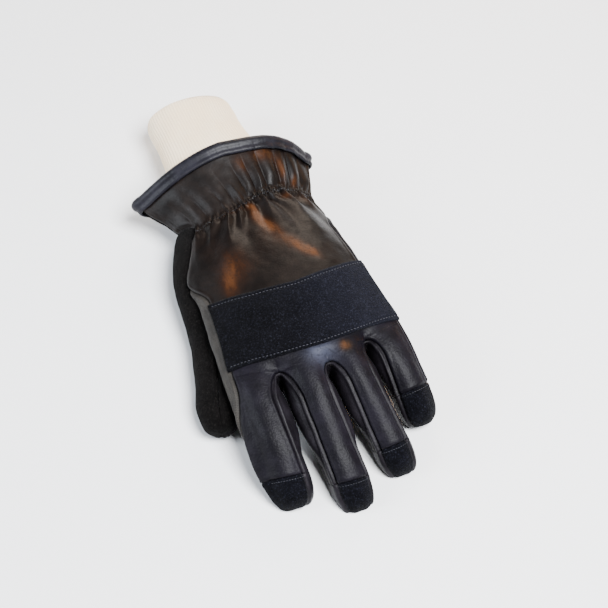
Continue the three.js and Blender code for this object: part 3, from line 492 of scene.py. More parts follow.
# How far in from the left and right edge of each finger's upper side its seams run, as a share of half
# the finger's width. On the index finger's outer side the seam runs down the side instead.
SEAM_INSETS = [(0.0, 0.38), (0.18, 0.14), (0.15, 0.25), (0.16, 0.0)]
SEAM_DROP = dict(height=-0.35, start=0.06, reach=0.5)


def seam_inset(number, side, along):
    left, right = SEAM_INSETS[number]
    return (left if side < 0 else right) * smooth(along / 0.22)


def seam_height(number, side, along):
    """The upper seam's height on a finger's side wall."""
    if (number, side) != (0, -1):
        return 2.0 + 0 * along
    return mix(1, SEAM_DROP["height"], smooth((along - SEAM_DROP["start"]) / SEAM_DROP["reach"]))


def finger_wall(number, side, height, along, inset):
    """A place on a finger's side wall; from height 1 to 2 it goes on over the edge of the upper side."""
    over = np.clip(height - 1, 0, 1)
    x, s, h = finger_side(number, side, np.minimum(height, 1), along, inset)
    top = finger_strip(number, side * (1 - over * seam_inset(number, side, along)), along, inset, True)
    return tuple(np.where(height > 1, a, b) for a, b in zip(top, (x, s, h)))


def finger_top(number, across, along, inset):
    """A place on the upper leather of a finger, from seam to seam."""
    kept = 1 - np.where(across < 0, seam_inset(number, -1, along), seam_inset(number, 1, along))
    if number > 0:
        return finger_strip(number, across * kept, along, inset, True)
    low = seam_height(0, -1, along)
    fold = -1 + 0.3 * (1 - low)
    over = np.clip((across - fold) / (1 - fold), 0, 1)
    down = np.clip((across + 1) / np.maximum(fold + 1, 0.001), 0, 1)
    top = finger_strip(0, mix(-1, 1, over) * np.where(across < 0, 1, kept), along, inset, True)
    side = finger_side(0, -1, mix(low, 1, down), along, inset)
    return tuple(np.where(across < fold, b, a) for a, b in zip(top, side))


def on_outer_side(number, across):
    """Whether a place is on the index finger's left half or the little finger's right half."""
    return ((across < 0) & (number == 0)) | ((across > 0) & (number == len(FINGERS) - 1))


def lane_surface(number, across, v, inset, upper):
    """The hand within one lane, which takes the finger's shape as it nears the crotches."""
    a, b = LANES["across"][number], LANES["across"][number + 1]
    position = mix(a, b, (across + 1) / 2)
    flat_x, s, flat_h = surface(position, station(position, v, inset, upper), inset, upper)
    formed = smooth((v - VALLEY_V) / (ROOT_V - VALLEY_V))
    left = lane_edge(number, station(a, v, inset, upper), inset, upper)
    right = lane_edge(number + 1, station(b, v, inset, upper), inset, upper)
    centre = surface((a + b) / 2, station((a + b) / 2, v, inset, upper), inset, upper)[2]
    h = mix(left[2], right[2], (across + 1) / 2) + (centre - (left[2] + right[2]) / 2) * crown(across)
    return mix(flat_x, mix(left[0], right[0], (across + 1) / 2), formed), s, mix(flat_h, h, formed)


def thumb_at(y):
    return {name: column(THUMB, "y", name, y) for name in THUMB if name != "y"}


def thumb_point(y, turn, inset=0.0):
    """A point of the thumb's slanted oval ring at y; the end is rounded off."""
    r = thumb_at(y)
    end = tip_round(y - inset - THUMB["y"][-1], THUMB_END["radius"], THUMB_END["power"])
    wide = np.maximum(r["half_width"] - inset, 0.5) * np.cos(turn) * end
    high = np.maximum(r["half_height"] - inset, 0.5) * np.sin(turn) * end
    height = np.maximum(r["z"] + high, inset)
    x, y, z = np.broadcast_arrays(r["x"] + wide, y - THUMB_SLANT * wide, height)
    return np.stack([CENTRE[0] + x, CENTRE[1] + y, z], -1)


def outside_thumb(points):
    """Millimetres from the thumb's surface, negative inside it."""
    x, y, z = points[..., 0] - CENTRE[0], points[..., 1] - CENTRE[1], points[..., 2]
    along = y
    for _ in range(5):
        slanted = y + THUMB_SLANT * (x - thumb_at(along)["x"])
        along = np.clip(slanted, THUMB["y"][-1], THUMB["y"][0])
    r = thumb_at(along)
    away = np.hypot((x - r["x"]) / r["half_width"], (z - r["z"]) / r["half_height"])
    near = (away - 1) * r["half_height"]
    return np.maximum(near, np.maximum(y - THUMB["y"][0], THUMB["y"][-1] - y))


def outside_hand(points):
    """Millimetres from the plain hand's surface, negative inside it."""
    x, forward, z = points[..., 0] - CENTRE[0], CENTRE[1] - points[..., 1], points[..., 2]
    s = forward
    for _ in range(4):
        pitch = np.interp(s, HAND_LINE.s, HAND_LINE.pitch)
        h = (z - np.interp(s, HAND_LINE.s, HAND_LINE.z)) / np.cos(pitch)
        s = np.interp(forward - h * np.sin(pitch), HAND_LINE.forward, HAND_LINE.s)
    r = section(s)
    across = 2 * (x - r["left"]) / (r["right"] - r["left"]) - 1
    top = r["top_seam"] + r["top_crown"] * crown(np.clip(across, -1, 1))
    low = r["low_seam"] - r["low_crown"] * crown(np.clip(across, -1, 1))
    level = np.clip((h - r["low_seam"]) / (r["top_seam"] - r["low_seam"]) * 2 - 1, -1, 1)
    rounded = crown(level, 2)
    off_left = r["left"] - r["left_bulge"] * rounded - x
    off_right = x - r["right"] - r["right_bulge"] * rounded
    return np.maximum(np.maximum(h - top, low - h) * 0.9, np.maximum(off_left, off_right))


# Meshes
def walk_lengths(points):
    steps = np.linalg.norm(np.diff(points, axis=0), axis=-1)
    return np.concatenate([[0], np.cumsum(steps)])


class Panel:
    """A closed thin sheet from grids of outer and inner points, which are joined where they meet."""

    def __init__(self, grids, drop=None):
        outer = np.concatenate([g["outer"].reshape(-1, 3) for g in grids])
        inner = np.concatenate([g["inner"].reshape(-1, 3) for g in grids])
        keys = np.round(outer * 500).astype(np.int64)
        _, first, self.weld = np.unique(keys, axis=0, return_index=True, return_inverse=True)
        self.weld = self.weld.reshape(-1)
        self.points, self.back = outer[first], inner[first]
        self.uv = np.concatenate([self.measure(g) for g in grids]) * MM
        flat = lambda g, name: np.broadcast_to(g[name], g["outer"].shape[:2]).reshape(-1)
        self.facts = {name: np.concatenate([flat(g, name) for g in grids])[first]
                      for name in grids[0] if name not in ("outer", "inner")}
        faces, self.ids, start = [], [], 0
        for g in grids:
            rows, columns = g["outer"].shape[:2]
            ids = np.arange(rows * columns).reshape(rows, columns) + start
            start += rows * columns
            self.ids.append(ids)
            corners = [ids[:-1, :-1], ids[:-1, 1:], ids[1:, 1:], ids[1:, :-1]]
            faces.append(np.stack(corners, -1).reshape(-1, 4))
        self.grid_of = np.repeat(np.arange(len(faces)), [len(f) for f in faces])
        self.faces = np.concatenate(faces)
        if drop is not None:
            kept = ~drop(self.points)[self.weld][self.faces].all(1)
            self.faces, self.grid_of = self.faces[kept], self.grid_of[kept]
        self.normals = self.face_outwards()

    @staticmethod
    def measure(g):
        rows, columns = g["outer"].shape[:2]
        across = walk_lengths(g["outer"][rows // 2])
        along = walk_lengths(g["outer"][:, columns // 2])
        return np.stack(np.broadcast_arrays(across[None, :], along[:, None]), -1).reshape(-1, 2)

    def vertex_normals(self):
        corners = self.points[self.weld[self.faces]]
        flat = np.cross(corners[:, 2] - corners[:, 0], corners[:, 3] - corners[:, 1])
        total = np.zeros_like(self.points)
        for k in range(4):
            np.add.at(total, self.weld[self.faces[:, k]], flat)
        return unit(total)

    def face_outwards(self):
        normals = self.vertex_normals()
        if np.sum(normals * (self.points - self.back)) < 0:
            self.faces = self.faces[:, ::-1]
            normals = -normals
        return normals

    def raise_by(self, amount):
        """Moves the outer surface along its normals, then works the normals out again."""
        self.points = self.points + self.normals * np.asarray(amount)[:, None]
        self.points[:, 2] = np.maximum(self.points[:, 2], 0)
        self.normals = self.vertex_normals()

    def trace(self, grid, rows, columns, lift=0.0):
        """Points and normals on the finished surface, along a path given in grid places."""
        ids = self.weld[self.ids[grid]]
        r0 = np.clip(np.floor(rows).astype(int), 0, ids.shape[0] - 2)
        c0 = np.clip(np.floor(columns).astype(int), 0, ids.shape[1] - 2)
        fr, fc = (rows - r0)[:, None], (columns - c0)[:, None]
        read = lambda v: (v[ids[r0, c0]] * (1 - fr) * (1 - fc) + v[ids[r0 + 1, c0]] * fr * (1 - fc)
                          + v[ids[r0, c0 + 1]] * (1 - fr) * fc + v[ids[r0 + 1, c0 + 1]] * fr * fc)
        normals = unit(read(self.normals))
        return read(self.points) + normals * lift, normals

    def build(self, name, node, finish, slot, lining=None, facts=(), beside=None, beside_grids=()):
        """The finished piece, which replaces its CAD node; beside is the finish of beside_grids."""
        depth = len(self.points)
        faces = self.faces
        welded = self.weld[faces]
        edges = np.stack([welded, np.roll(welded, -1, 1)], -1).reshape(-1, 2)
        raw = np.stack([faces, np.roll(faces, -1, 1)], -1).reshape(-1, 2)
        real = edges[:, 0] != edges[:, 1]
        code = edges[:, 0] * depth + edges[:, 1]
        reverse = edges[:, 1] * depth + edges[:, 0]
        open_edges = real & ~np.isin(code, reverse[real])
        a, b = raw[open_edges].T
        raw_count = len(self.weld)
        walls = np.stack([b, a, a + raw_count, b + raw_count], -1)
        every = np.concatenate([faces, walls, faces[:, ::-1] + raw_count])
        vertex = np.concatenate([self.weld, self.weld + depth])
        uv = np.concatenate([self.uv, self.uv])
        outside = np.where(np.isin(self.grid_of, beside_grids), 2, 0)
        finish_of = np.concatenate([outside, np.zeros(len(walls), int), np.ones(len(faces), int)])
        points = np.concatenate([self.points, self.back]) * MM
        polygons, corners, looks = [], [], []
        for face, look in zip(every.tolist(), finish_of.tolist()):
            kept = []
            for corner in face:
                if not kept or vertex[corner] != vertex[kept[-1]]:
                    kept.append(corner)
            if len(kept) > 1 and vertex[kept[0]] == vertex[kept[-1]]:
                kept.pop()
            if len(kept) > 2:
                polygons.append([vertex[c] for c in kept])
                corners.extend(kept)
                looks.append(look)
        mesh = bpy.data.meshes.new(name)
        mesh.from_pydata(points.tolist(), [], polygons)
        layer = mesh.uv_layers.new(name="sewn")
        layer.data.foreach_set("uv", uv[corners].reshape(-1))
        for fact in facts:
            values = np.concatenate([self.facts[fact], np.zeros(depth)])
            mesh.attributes.new(fact, "FLOAT", "POINT").data.foreach_set("value", values.astype(np.float32))
        for material in (finish, lining or finish, beside or finish):
            mesh.materials.append(material)
        mesh.polygons.foreach_set("material_index", looks)
        show(name, mesh, slot, node)


def show(name, mesh, slot, *nodes):
    """Puts a finished mesh in the scene as a piece of the glove."""
    mesh.shade_smooth()
    mesh.update()
    piece = bpy.data.objects.new(name, mesh)
    bpy.context.scene.collection.objects.link(piece)
    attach(piece, "root")
    if nodes:
        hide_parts(*nodes)


def sheet_of(rows, columns, point_at, depths=(0.0, WALL), **facts):
    """A grid of outer and inner points, with the facts that its material reads."""
    r, c = np.meshgrid(rows, columns, indexing="ij")
    grid = dict(outer=point_at(r, c, depths[0]), inner=point_at(r, c, depths[1]))
    grid.update({name: fact(r, c) for name, fact in facts.items()})
    return grid


def nearest(points, lines):
    """Distance from each point to the closest of the points on some lines."""
    tree = KDTree(len(lines))
    for k, p in enumerate(lines.tolist()):
        tree.insert(p, k)
    tree.balance()
    return np.array([tree.find(p)[2] for p in points.tolist()])


def turned_seam(distance, depth, ridge, lip=0.0):
    """Height of leather beside a seam: turned down into it, with a soft roll and a stiff lip along it."""
    near = lambda place, width: np.exp(-((distance - place) / width) ** 2)
    return ridge * near(2.0, 1.0) - depth * near(0, 0.85) + lip * (near(1.6, 0.7) - 0.6 * near(3.6, 0.8))


# Finishes
class Shade:
    """A socket of a material, with the operators that add Math nodes."""

    def __init__(self, finish, socket):
        self.finish, self.socket = finish, socket

    def maths(self, operation, *others):
        values = dict(enumerate((self, *others)))
        return self.finish.node("ShaderNodeMath", {"operation": operation}, values)[0]

    def __add__(self, other):
        return self.maths("ADD", other)

    def __sub__(self, other):
        return self.maths("SUBTRACT", other)

    def __mul__(self, other):
        return self.maths("MULTIPLY", other)

    __radd__ = __add__
    __rmul__ = __mul__

    def between(self, low, high):
        """0 below low, 1 above high and smooth between them."""
        return self.finish.node("ShaderNodeMapRange", {"interpolation_type": "SMOOTHSTEP"},
                                {"Value": self, "From Min": low, "From Max": high})[0]


class Finish:
    """A procedural material under construction."""

    def __init__(self, name):
        self.material = bpy.data.materials.new(name)
        self.material.use_nodes = True
        self.tree = self.material.node_tree
        self.tree.nodes.clear()
        self.place = self.node("ShaderNodeTexCoord")["Object"]

    def node(self, kind, settings=None, inputs=None):
        """Any node: its settings first, then the values or links of its sockets."""
        node = self.tree.nodes.new(kind)
        for key, value in (settings or {}).items():
            if key == "stops":
                ramp = node.color_ramp.elements
                while len(ramp) < len(value):
                    ramp.new(0.5)
                for stop, (position, colour) in zip(ramp, value):
                    stop.position, stop.color = position, (*colour, 1)
            else:
                setattr(node, key, value)
        for key, value in (inputs or {}).items():
            socket = node.inputs[key]
            if isinstance(value, Shade):
                self.tree.links.new(value.socket, socket)
            else:
                socket.default_value = value
        return Outputs(self, node)

    def noise(self, size, detail=3.0, rough=0.55, stretch=None):
        """Noise whose lumps are about size metres."""
        where = self.place
        if stretch:
            where = self.node("ShaderNodeMapping", {}, {"Vector": where, "Scale": stretch})["Vector"]
        return self.node("ShaderNodeTexNoise", {}, {"Vector": where, "Scale": 1 / size, "Detail": detail,
                                                     "Roughness": rough})[0]

    def cells(self, size):
        """Distance from the middles of cells that are about size metres wide."""
        return self.node("ShaderNodeTexVoronoi", {}, {"Vector": self.place, "Scale": 1 / size})["Distance"]

    def attribute(self, name):
        return self.node("ShaderNodeAttribute", {"attribute_name": name})["Fac"]

    def colours(self, share, low, high):
        low, high = ((*c, 1) if isinstance(c, tuple) else c for c in (low, high))
        return self.node("ShaderNodeMix", {"data_type": "RGBA"}, {0: share, 6: low, 7: high})[2]

    def bump(self, height, distance, strength=1.0, under=None):
        inputs = {"Height": height, "Distance": distance, "Strength": strength}
        if under:
            inputs["Normal"] = under
        return self.node("ShaderNodeBump", {}, inputs)["Normal"]

    def close(self, **sockets):
        """The shader itself; constants stay on its own sockets."""
        inputs = {name.replace("_", " ").title().replace("Ior", "IOR"): value
                  for name, value in sockets.items()}
        shader = self.node("ShaderNodeBsdfPrincipled", {}, inputs)[0]
        self.node("ShaderNodeOutputMaterial", {}, {"Surface": shader})
        return self.material


class Outputs:
    """A node's output sockets by number or name."""

    def __init__(self, finish, node):
        self.finish, self.node = finish, node

    def __getitem__(self, key):
        return Shade(self.finish, self.node.outputs[key])


def smooth_leather(name, dark, light, worn, roughness, grain, creases, warm=None, ripples=0.0, cool=None,
                   shine=0.13):
    """Full-grain leather: pebbled grain, fine creases, soft cloudy colour and worn high places; where its
    attributes ask for them, a painted orange-brown reflection and a painted bluish highlight.
    """
    f = Finish(name)
    cloud = f.noise(0.030, 3.0).between(0.35, 0.70)
    patchy = f.noise(0.0075, 4.0).between(0.40, 0.68)
    colour = f.colours(cloud * 0.65 + patchy * 0.35, dark, light)
    gloss = 0.0
    # Painted reflection: orange-brown colour, and a little less roughness, where the attribute asks for it.
    if warm:
        painted_reflection_share = f.attribute("warm") * (0.20 + 1.4 * f.noise(0.0062, 4.0, 0.6, stretch=(1.5, 0.55, 1.0)))
        colour = f.colours(painted_reflection_share.between(0.05, 0.55), colour, warm[0])
        colour = f.colours(painted_reflection_share.between(0.35, 0.95), colour, warm[1])
        gloss = painted_reflection_share.between(0.1, 0.6)
    # Painted highlight: a bluish sheen where the attribute asks for it.
    if cool:
        colour = f.colours(f.attribute("cool") * (0.3 + 1.2 * f.noise(0.006, 4.0, 0.6)), colour, cool)
    pebble = f.cells(0.00125)
    pore = f.cells(0.00062)
    crease = f.noise(0.0026, 5.0, 0.66, stretch=(1.0, 1.5, 1.0)).between(0.40, 0.62)
    rubbed = f.noise(0.0028, 4.0, 0.6).between(0.56, 0.74) * cloud
    colour = f.colours(rubbed * 0.12, colour, worn)
    deep = pebble.between(0.55, 0.95)
    colour = f.colours(deep * 0.40, colour, tuple(0.4 * c for c in dark))
    rough = roughness + 0.08 * cloud - 0.06 * rubbed + 0.10 * deep - 0.06 * gloss
    relief = f.bump(pebble * -1.0, 0.00016 * grain, 0.9)
    relief = f.bump(pore * -1.0, 0.00006 * grain, 0.6, relief)
    relief = f.bump(crease, 0.00030 * creases, 0.55, relief)
    relief = f.bump(f.noise(0.011, 2.0), 0.0009, 0.20, relief)
    if ripples:
        waves = f.noise(0.0020, 2.0, 0.5, stretch=(0.35, 1.3, 1.0))
        relief = f.bump(waves, 0.0004 * ripples, 0.5, relief)
    return f.close(base_color=colour, roughness=rough, normal=relief, specular_ior_level=shine,
                   coat_weight=0.11 * shine, coat_roughness=0.20)


def suede(name, dark, light, fibre, rubbed=None):
    """Split leather: a matt nap of short fibres, brushed darker and lighter, with painted light that makes it
    paler where the attribute asks for it.
    """
    f = Finish(name)
    brushed = f.noise(0.012, 4.0, 0.6).between(0.36, 0.66)
    nap = f.noise(0.0013, 5.0, 0.75)
    fleck = f.noise(0.0009, 4.0, 0.8).between(0.52, 0.68)
    colour = f.colours(brushed * 0.5 + nap.between(0.38, 0.64) * 0.5, dark, light)
    colour = f.colours(fleck * 0.7, colour, fibre)
    # Painted light: paler, bluer flecks where the attribute asks for it.
    if rubbed:
        painted_light_paling = f.attribute("rubbed") * (0.02 + 0.22 * f.noise(0.0035, 4.0, 0.7) + 0.35 * fleck)
        colour = f.colours(painted_light_paling, colour, rubbed)
    relief = f.bump(nap, 0.0009, 0.9)
    relief = f.bump(f.noise(0.0004, 3.0, 0.7), 0.00022, 0.8, relief)
    relief = f.bump(f.noise(0.0045, 4.0, 0.6), 0.0007, 0.5, relief)
    return f.close(base_color=colour, roughness=0.96, normal=relief, specular_ior_level=0.045,
                   sheen_weight=0.02, sheen_roughness=0.4)


KNIT_ROW = 0.0013


def rib_knit():
    """Cream rib knit: chains of small V loops on each rib, shaded in the furrows."""
    f = Finish("cream_rib_knit")
    uv = f.node("ShaderNodeUVMap", {"uv_map": "sewn"})["UV"]
    furrow = f.attribute("furrow")
    split = f.node("ShaderNodeSeparateXYZ", {}, {0: uv})
    lean = f.attribute("lean")
    rows = ((split["Y"] * (1 / KNIT_ROW) + lean * 0.5).maths("FRACT") - 0.5).maths("ABSOLUTE") * 2.0
    loop = rows.between(0.15, 0.9)
    fluff = f.noise(0.0008, 4.0, 0.7)
    tone = f.noise(0.022, 3.0).between(0.35, 0.7)
    colour = f.colours(tone, (0.92, 0.730, 0.490), (0.940, 0.785, 0.570))
    # Painted shade: darker in the furrows between the ribs and between the rows of loops.
    colour = f.colours((furrow * 0.42 + loop * 0.12), colour, (0.66, 0.480, 0.300))
    relief = f.bump(loop * -1.0, 0.00035, 0.5)
    relief = f.bump(fluff, 0.0002, 0.6, relief)
    return f.close(base_color=colour, roughness=0.92, normal=relief, specular_ior_level=0.25,
                   sheen_weight=0.25, sheen_roughness=0.5)


def thread(name, dark, light):
    """Twisted sewing thread."""
    f = Finish(name)
    ply = f.noise(0.0004, 2.0)
    return f.close(base_color=f.colours(ply.between(0.3, 0.7), dark, light), roughness=0.6,
                   normal=f.bump(ply, 0.0001, 0.7))


MESH_PITCH = 0.00125


def side_mesh():
    """Fine grey-brown mesh of the side strip: small cells in even rows."""
    f = Finish("grey_side_mesh")
    uv = f.node("ShaderNodeUVMap", {"uv_map": "sewn"})["UV"]
    split = f.node("ShaderNodeSeparateXYZ", {}, {0: uv})
    wave = lambda axis: (split[axis] * (2 * np.pi / MESH_PITCH)).maths("SINE")
    weave = wave("X") * wave("Y")
    cells = weave.between(-0.4, 0.7)
    tone = f.noise(0.009, 3.0).between(0.35, 0.7)
    colour = f.colours(tone, (0.0150, 0.0130, 0.0110), (0.0300, 0.0265, 0.0225))
    colour = f.colours(cells * 0.55, colour, (0.0055, 0.0048, 0.0044))
    return f.close(base_color=colour, roughness=0.62, normal=f.bump(cells * -1.0, 0.00030, 0.7),
                   specular_ior_level=0.2)


def lining():
    """Dark brushed lining seen inside the cuff."""
    f = Finish("dark_lining")
    fleece = f.noise(0.0012, 5.0, 0.7)
    colour = f.colours(fleece.between(0.35, 0.7), (0.012, 0.011, 0.011), (0.040, 0.037, 0.035))
    return f.close(base_color=colour, roughness=0.97, normal=f.bump(fleece, 0.0006, 0.8),
                   specular_ior_level=0.15)


# The back leather's orange-brown colours are painted reflections along its folds.
BACK_LEATHER = smooth_leather(
    "brown_black_leather", dark=(0.0025, 0.0017, 0.0015), light=(0.0076, 0.0049, 0.0039),
    worn=(0.020, 0.013, 0.010), roughness=0.41, grain=0.22, creases=0.12, shine=0.115,
    warm=((0.013, 0.0051, 0.0025), (0.048, 0.0170, 0.0056)))
# Finger leather: its orange-brown colours are a painted reflection on the knuckles, its bluish one a painted
# highlight.
FINGER_LEATHER = smooth_leather(
    "black_grain_leather", dark=(0.0020, 0.0016, 0.0029), light=(0.0061, 0.0050, 0.0082),
    worn=(0.022, 0.020, 0.029), roughness=0.48, grain=0.85, creases=0.05, ripples=0.05, shine=0.085,
    warm=((0.014, 0.0065, 0.0030), (0.050, 0.019, 0.006)), cool=(0.034, 0.037, 0.055))
# A lighter copy of the finger leather: partly worn, partly painted light on the lips of the walls between the
# fingers and on the caps' leather sides.
FORK_LEATHER_PAINTED_LIGHTER = smooth_leather(
    "fork_leather_painted_lighter", dark=(0.0034, 0.0027, 0.0038), light=(0.0104, 0.0086, 0.0115),
    worn=(0.026, 0.025, 0.032), roughness=0.47, grain=0.60, creases=0.06, shine=0.10)
EDGE_LEATHER = smooth_leather(
    "black_binding_leather", dark=(0.0042, 0.0040, 0.0060), light=(0.0130, 0.0122, 0.0172),
    worn=(0.030, 0.029, 0.039), roughness=0.40, grain=0.25, creases=0.12)
BLACK_SUEDE = suede(
    "black_suede", dark=(0.0004, 0.0004, 0.0008), light=(0.0020, 0.0020, 0.0034), fibre=(0.017, 0.018, 0.028))
# The patch's paler colour is painted light falling on its right end.
PATCH_SUEDE = suede(
    "patch_suede", dark=(0.0004, 0.0004, 0.0007), light=(0.0020, 0.0020, 0.0030), fibre=(0.017, 0.018, 0.026),
    rubbed=(0.024, 0.026, 0.043))
PALM_SUEDE = suede(
    "palm_suede", dark=(0.0006, 0.0005, 0.0005), light=(0.0027, 0.0022, 0.0021), fibre=(0.017, 0.015, 0.014))
CREAM_KNIT = rib_knit()
DARK_THREAD = thread("dark_thread", (0.003, 0.003, 0.005), (0.016, 0.016, 0.023))
NAVY_THREAD = thread("navy_thread", (0.004, 0.004, 0.007), (0.016, 0.017, 0.025))
PATCH_THREAD = thread("patch_thread", (0.005, 0.005, 0.008), (0.018, 0.019, 0.029))
SIDE_MESH = side_mesh()
LINING = lining()

# Seams that more than one panel shares; the shifts are half a seam's gap as a share of half the back's
# width and of half a side strip's height
HALF_SEAM = SEAM_GAP / 2
TOP_SHIFT = HALF_SEAM / 48
SIDE_SHIFT = HALF_SEAM / 6.5
# The middle of a side, as a place round the hand
SIDE_END = 1.5
# How deep a panel may lie in its neighbour before its faces are left out
HIDDEN_IN_THUMB = -1.3
HIDDEN_IN_HAND = -1.2


def side_share(v, start, end):
    return 0.5 * (1 - smooth((v - start) / (end - start)))


def left_share(v):
    return side_share(v, 41, 64)


def right_share(v):
    return side_share(v, 8, 30)


ALONG = spread(0, 1, 220)
FINGER_SEAMS = {
    (number, side, upper): on_finger(number, finger_wall(
        number, side, seam_height(number, side, ALONG) if upper else -1.0, ALONG, 0))
    for number in range(4) for side in (-1, 1) for upper in (True, False)
}
TOP_SEAMS = np.concatenate([line for (_, _, upper), line in FINGER_SEAMS.items() if upper])
LOW_SEAMS = np.concatenate([line for (_, _, upper), line in FINGER_SEAMS.items() if not upper])


def cap_seam(number, upper):
    cap = FINGERS[number]["cap"]
    left, right = (seam_inset(number, side, cap) if upper else 0 for side in (-1, 1))
    return on_finger(number, finger_strip(number, spread(left - 1, 1 - right, 60), cap, 0, upper))


TOP_CAPS = np.concatenate([cap_seam(number, True) for number in range(4)])
LOW_CAPS = np.concatenate([cap_seam(number, False) for number in range(4)])
SIDE_CAPS = np.concatenate([
    on_finger(number, finger_side(number, side, spread(-1, 1, 30), FINGERS[number]["cap"], 0))
    for number, side in ((0, -1), (3, 1))])


def side_seam(side, share_at, upper, start, end=ROOT_V):
    """Where a side strip meets the back or the palm panel, as points on the hand."""
    v = spread(start, end, 200)
    share = share_at(v)
    if side > 0:
        ring = 1 + share if upper else 2 - share
    else:
        ring = -1 - share if upper else 4 + share
    return hand_ring(ring, v)


LEFT_TOP = side_seam(-1, left_share, True, RIM_V)
LEFT_LOW = side_seam(-1, left_share, False, RIM_V)
RIGHT_TOP = side_seam(1, right_share, True, RIM_V)
RIGHT_LOW = side_seam(1, right_share, False, RIM_V)
CROSS_SEAM = hand_ring(spread(2, 4, 240), PALM_END_V)


def in_thumb(points):
    return outside_thumb(points) < HIDDEN_IN_THUMB


def worn_lumps(points, height, seed):
    """The small unevenness of handled leather."""
    return height * (0.65 * lattice_noise(points, 9.0, seed) + 0.35 * lattice_noise(points, 4.2, seed + 1))


# Random seeds of the pieces' unevenness; the fingers' pieces share one, so that they meet at their seams
SEEDS = dict(back=11, palm=21, fingers=31, patch=71, thumb=81, knit=91, tab=95)


# Panels
# Places of painted orange-brown reflection on the back: place across, row, reach across, reach along, slant
# and strength
PAINTED_WARM_REFLECTIONS = table("across v reach_across reach_v slant strength", [
    (-0.01, 15, 0.06, 9, 0.005, 1.0),
    (0.07, 26, 0.09, 8, 0.012, 0.85),
    (0.24, 41, 0.14, 9, 0.016, 0.45),
    (0.40, 51, 0.10, 7, 0.014, 0.95),
    (-0.70, 58, 0.10, 12, -0.006, 0.58),
    (-0.52, 50, 0.20, 12, -0.006, 0.45),
    (0.0, 38, 0.40, 20, 0.0, 0.17),
    (-0.66, 34, 0.22, 18, 0.0, 0.17),
    (-0.34, -16, 0.30, 10, 0.0, 0.10),
    (0.44, -28, 0.16, 6, 0.0, 0.75),
    (0.13, -24, 0.10, 8, 0.0, 0.55),
    (0.62, -16, 0.05, 10, 0.0, 0.90),
    (0.79, -10, 0.05, 5, 0.0, 0.80),
    (0.60, 6, 0.20, 5, 0.0, 0.55),
    (0.86, 12, 0.05, 12, 0.004, 0.35),
    (-0.30, 11, 0.25, 3, 0.0, 0.35),
])


def painted_warm_reflection_at(ring, v):
    """How strongly the painted orange-brown reflection shows on the back's leather at a place round the hand.
    """
    across = np.where(ring > 3, ring - 6, ring)
    total = 0
    for k in range(len(PAINTED_WARM_REFLECTIONS["v"])):
        off = v - PAINTED_WARM_REFLECTIONS["v"][k]
        beside = across - PAINTED_WARM_REFLECTIONS["across"][k] - PAINTED_WARM_REFLECTIONS["slant"][k] * off
        reach = (beside / PAINTED_WARM_REFLECTIONS["reach_across"][k]) ** 2 + (off / PAINTED_WARM_REFLECTIONS["reach_v"][k]) ** 2
        total = total + PAINTED_WARM_REFLECTIONS["strength"][k] * np.exp(-reach)
    return np.clip(total, 0, 1)


def back_panel():
    """Back of the hand and cuff, gathered at the wrist."""
    def ring_at(v, share):
        left, right = left_share(v), right_share(v)
        return mix(-1 - left + mix(TOP_SHIFT, SIDE_SHIFT, left * 2),
                   1 + right - mix(TOP_SHIFT, SIDE_SHIFT, right * 2), share)

    rows = np.concatenate([spread(RIM_V, -8, 34)[:-1], spread(-8, 16, 50)[:-1],
                           spread(16, PANEL_END_V - HALF_SEAM, 62)])
    columns = spread(0, 1, 290, 0.2)
    # The attribute carries the painted orange-brown reflection.
    grid = sheet_of(rows, columns, lambda v, share, inset: hand_ring(ring_at(v, share), v, inset),
                    warm=lambda v, share: painted_warm_reflection_at(ring_at(v, share), v))
    panel = Panel([grid], drop=in_thumb)
    seams = np.concatenate([LEFT_TOP, RIGHT_TOP])
    height = turned_seam(nearest(panel.points, seams), depth=1.0, ridge=0.3)
    height += turned_seam(np.abs(outside_thumb(panel.points)), depth=0.9, ridge=0.2)
    height += worn_lumps(panel.points, 0.35, SEEDS["back"])
    panel.raise_by(height)
    panel.build("back_leather", "back_panel", BACK_LEATHER, "smooth_leather", LINING, ["warm"])
    panel.rows, panel.columns = rows, columns
    return panel


def palm_panel():
    """Suede palm of the hand and the palm side of the cuff."""
    def ring_at(v, share):
        left, right = left_share(v), right_share(v)
        return mix(2 - right + mix(TOP_SHIFT, SIDE_SHIFT, right * 2),
                   4 + left - mix(TOP_SHIFT, SIDE_SHIFT, left * 2), share)

    rows, columns = spread(RIM_V, PALM_END_V - HALF_SEAM, 118), spread(0, 1, 130, 0.3)
    grid = sheet_of(rows, columns, lambda v, share, inset: hand_ring(ring_at(v, share), v, inset))
    panel = Panel([grid], drop=in_thumb)
    seams = np.concatenate([LEFT_LOW, RIGHT_LOW, CROSS_SEAM])
    height = turned_seam(nearest(panel.points, seams), depth=0.9, ridge=0.0)
    height += turned_seam(np.abs(outside_thumb(panel.points)), depth=0.8, ridge=0.0)
    height += worn_lumps(panel.points, 0.3, SEEDS["palm"]) - 0.15
    panel.raise_by(height)
    panel.build("palm_suede", "palm_panel", PALM_SUEDE, "suede", LINING)
    return panel


# Two places of the knuckles' leather, each with its reach: a painted orange-brown reflection and a painted
# bluish highlight
PAINTED_WARM_SPOT = ((21.4, -71.7, 43.0), 3.6)
PAINTED_SHEEN_SPOT = ((7.0, -71.1, 42.5), 7.5)


def finger_rows(cap, shift):
    """Rows of a finger from its root to the cap, closer together at the crotch."""
    crotch = CROTCH_LENGTH * (1 - np.cos(np.linspace(0, np.pi / 2, 18)))
    return np.concatenate([crotch, spread(CROTCH_LENGTH, cap - shift, 56)[1:]])


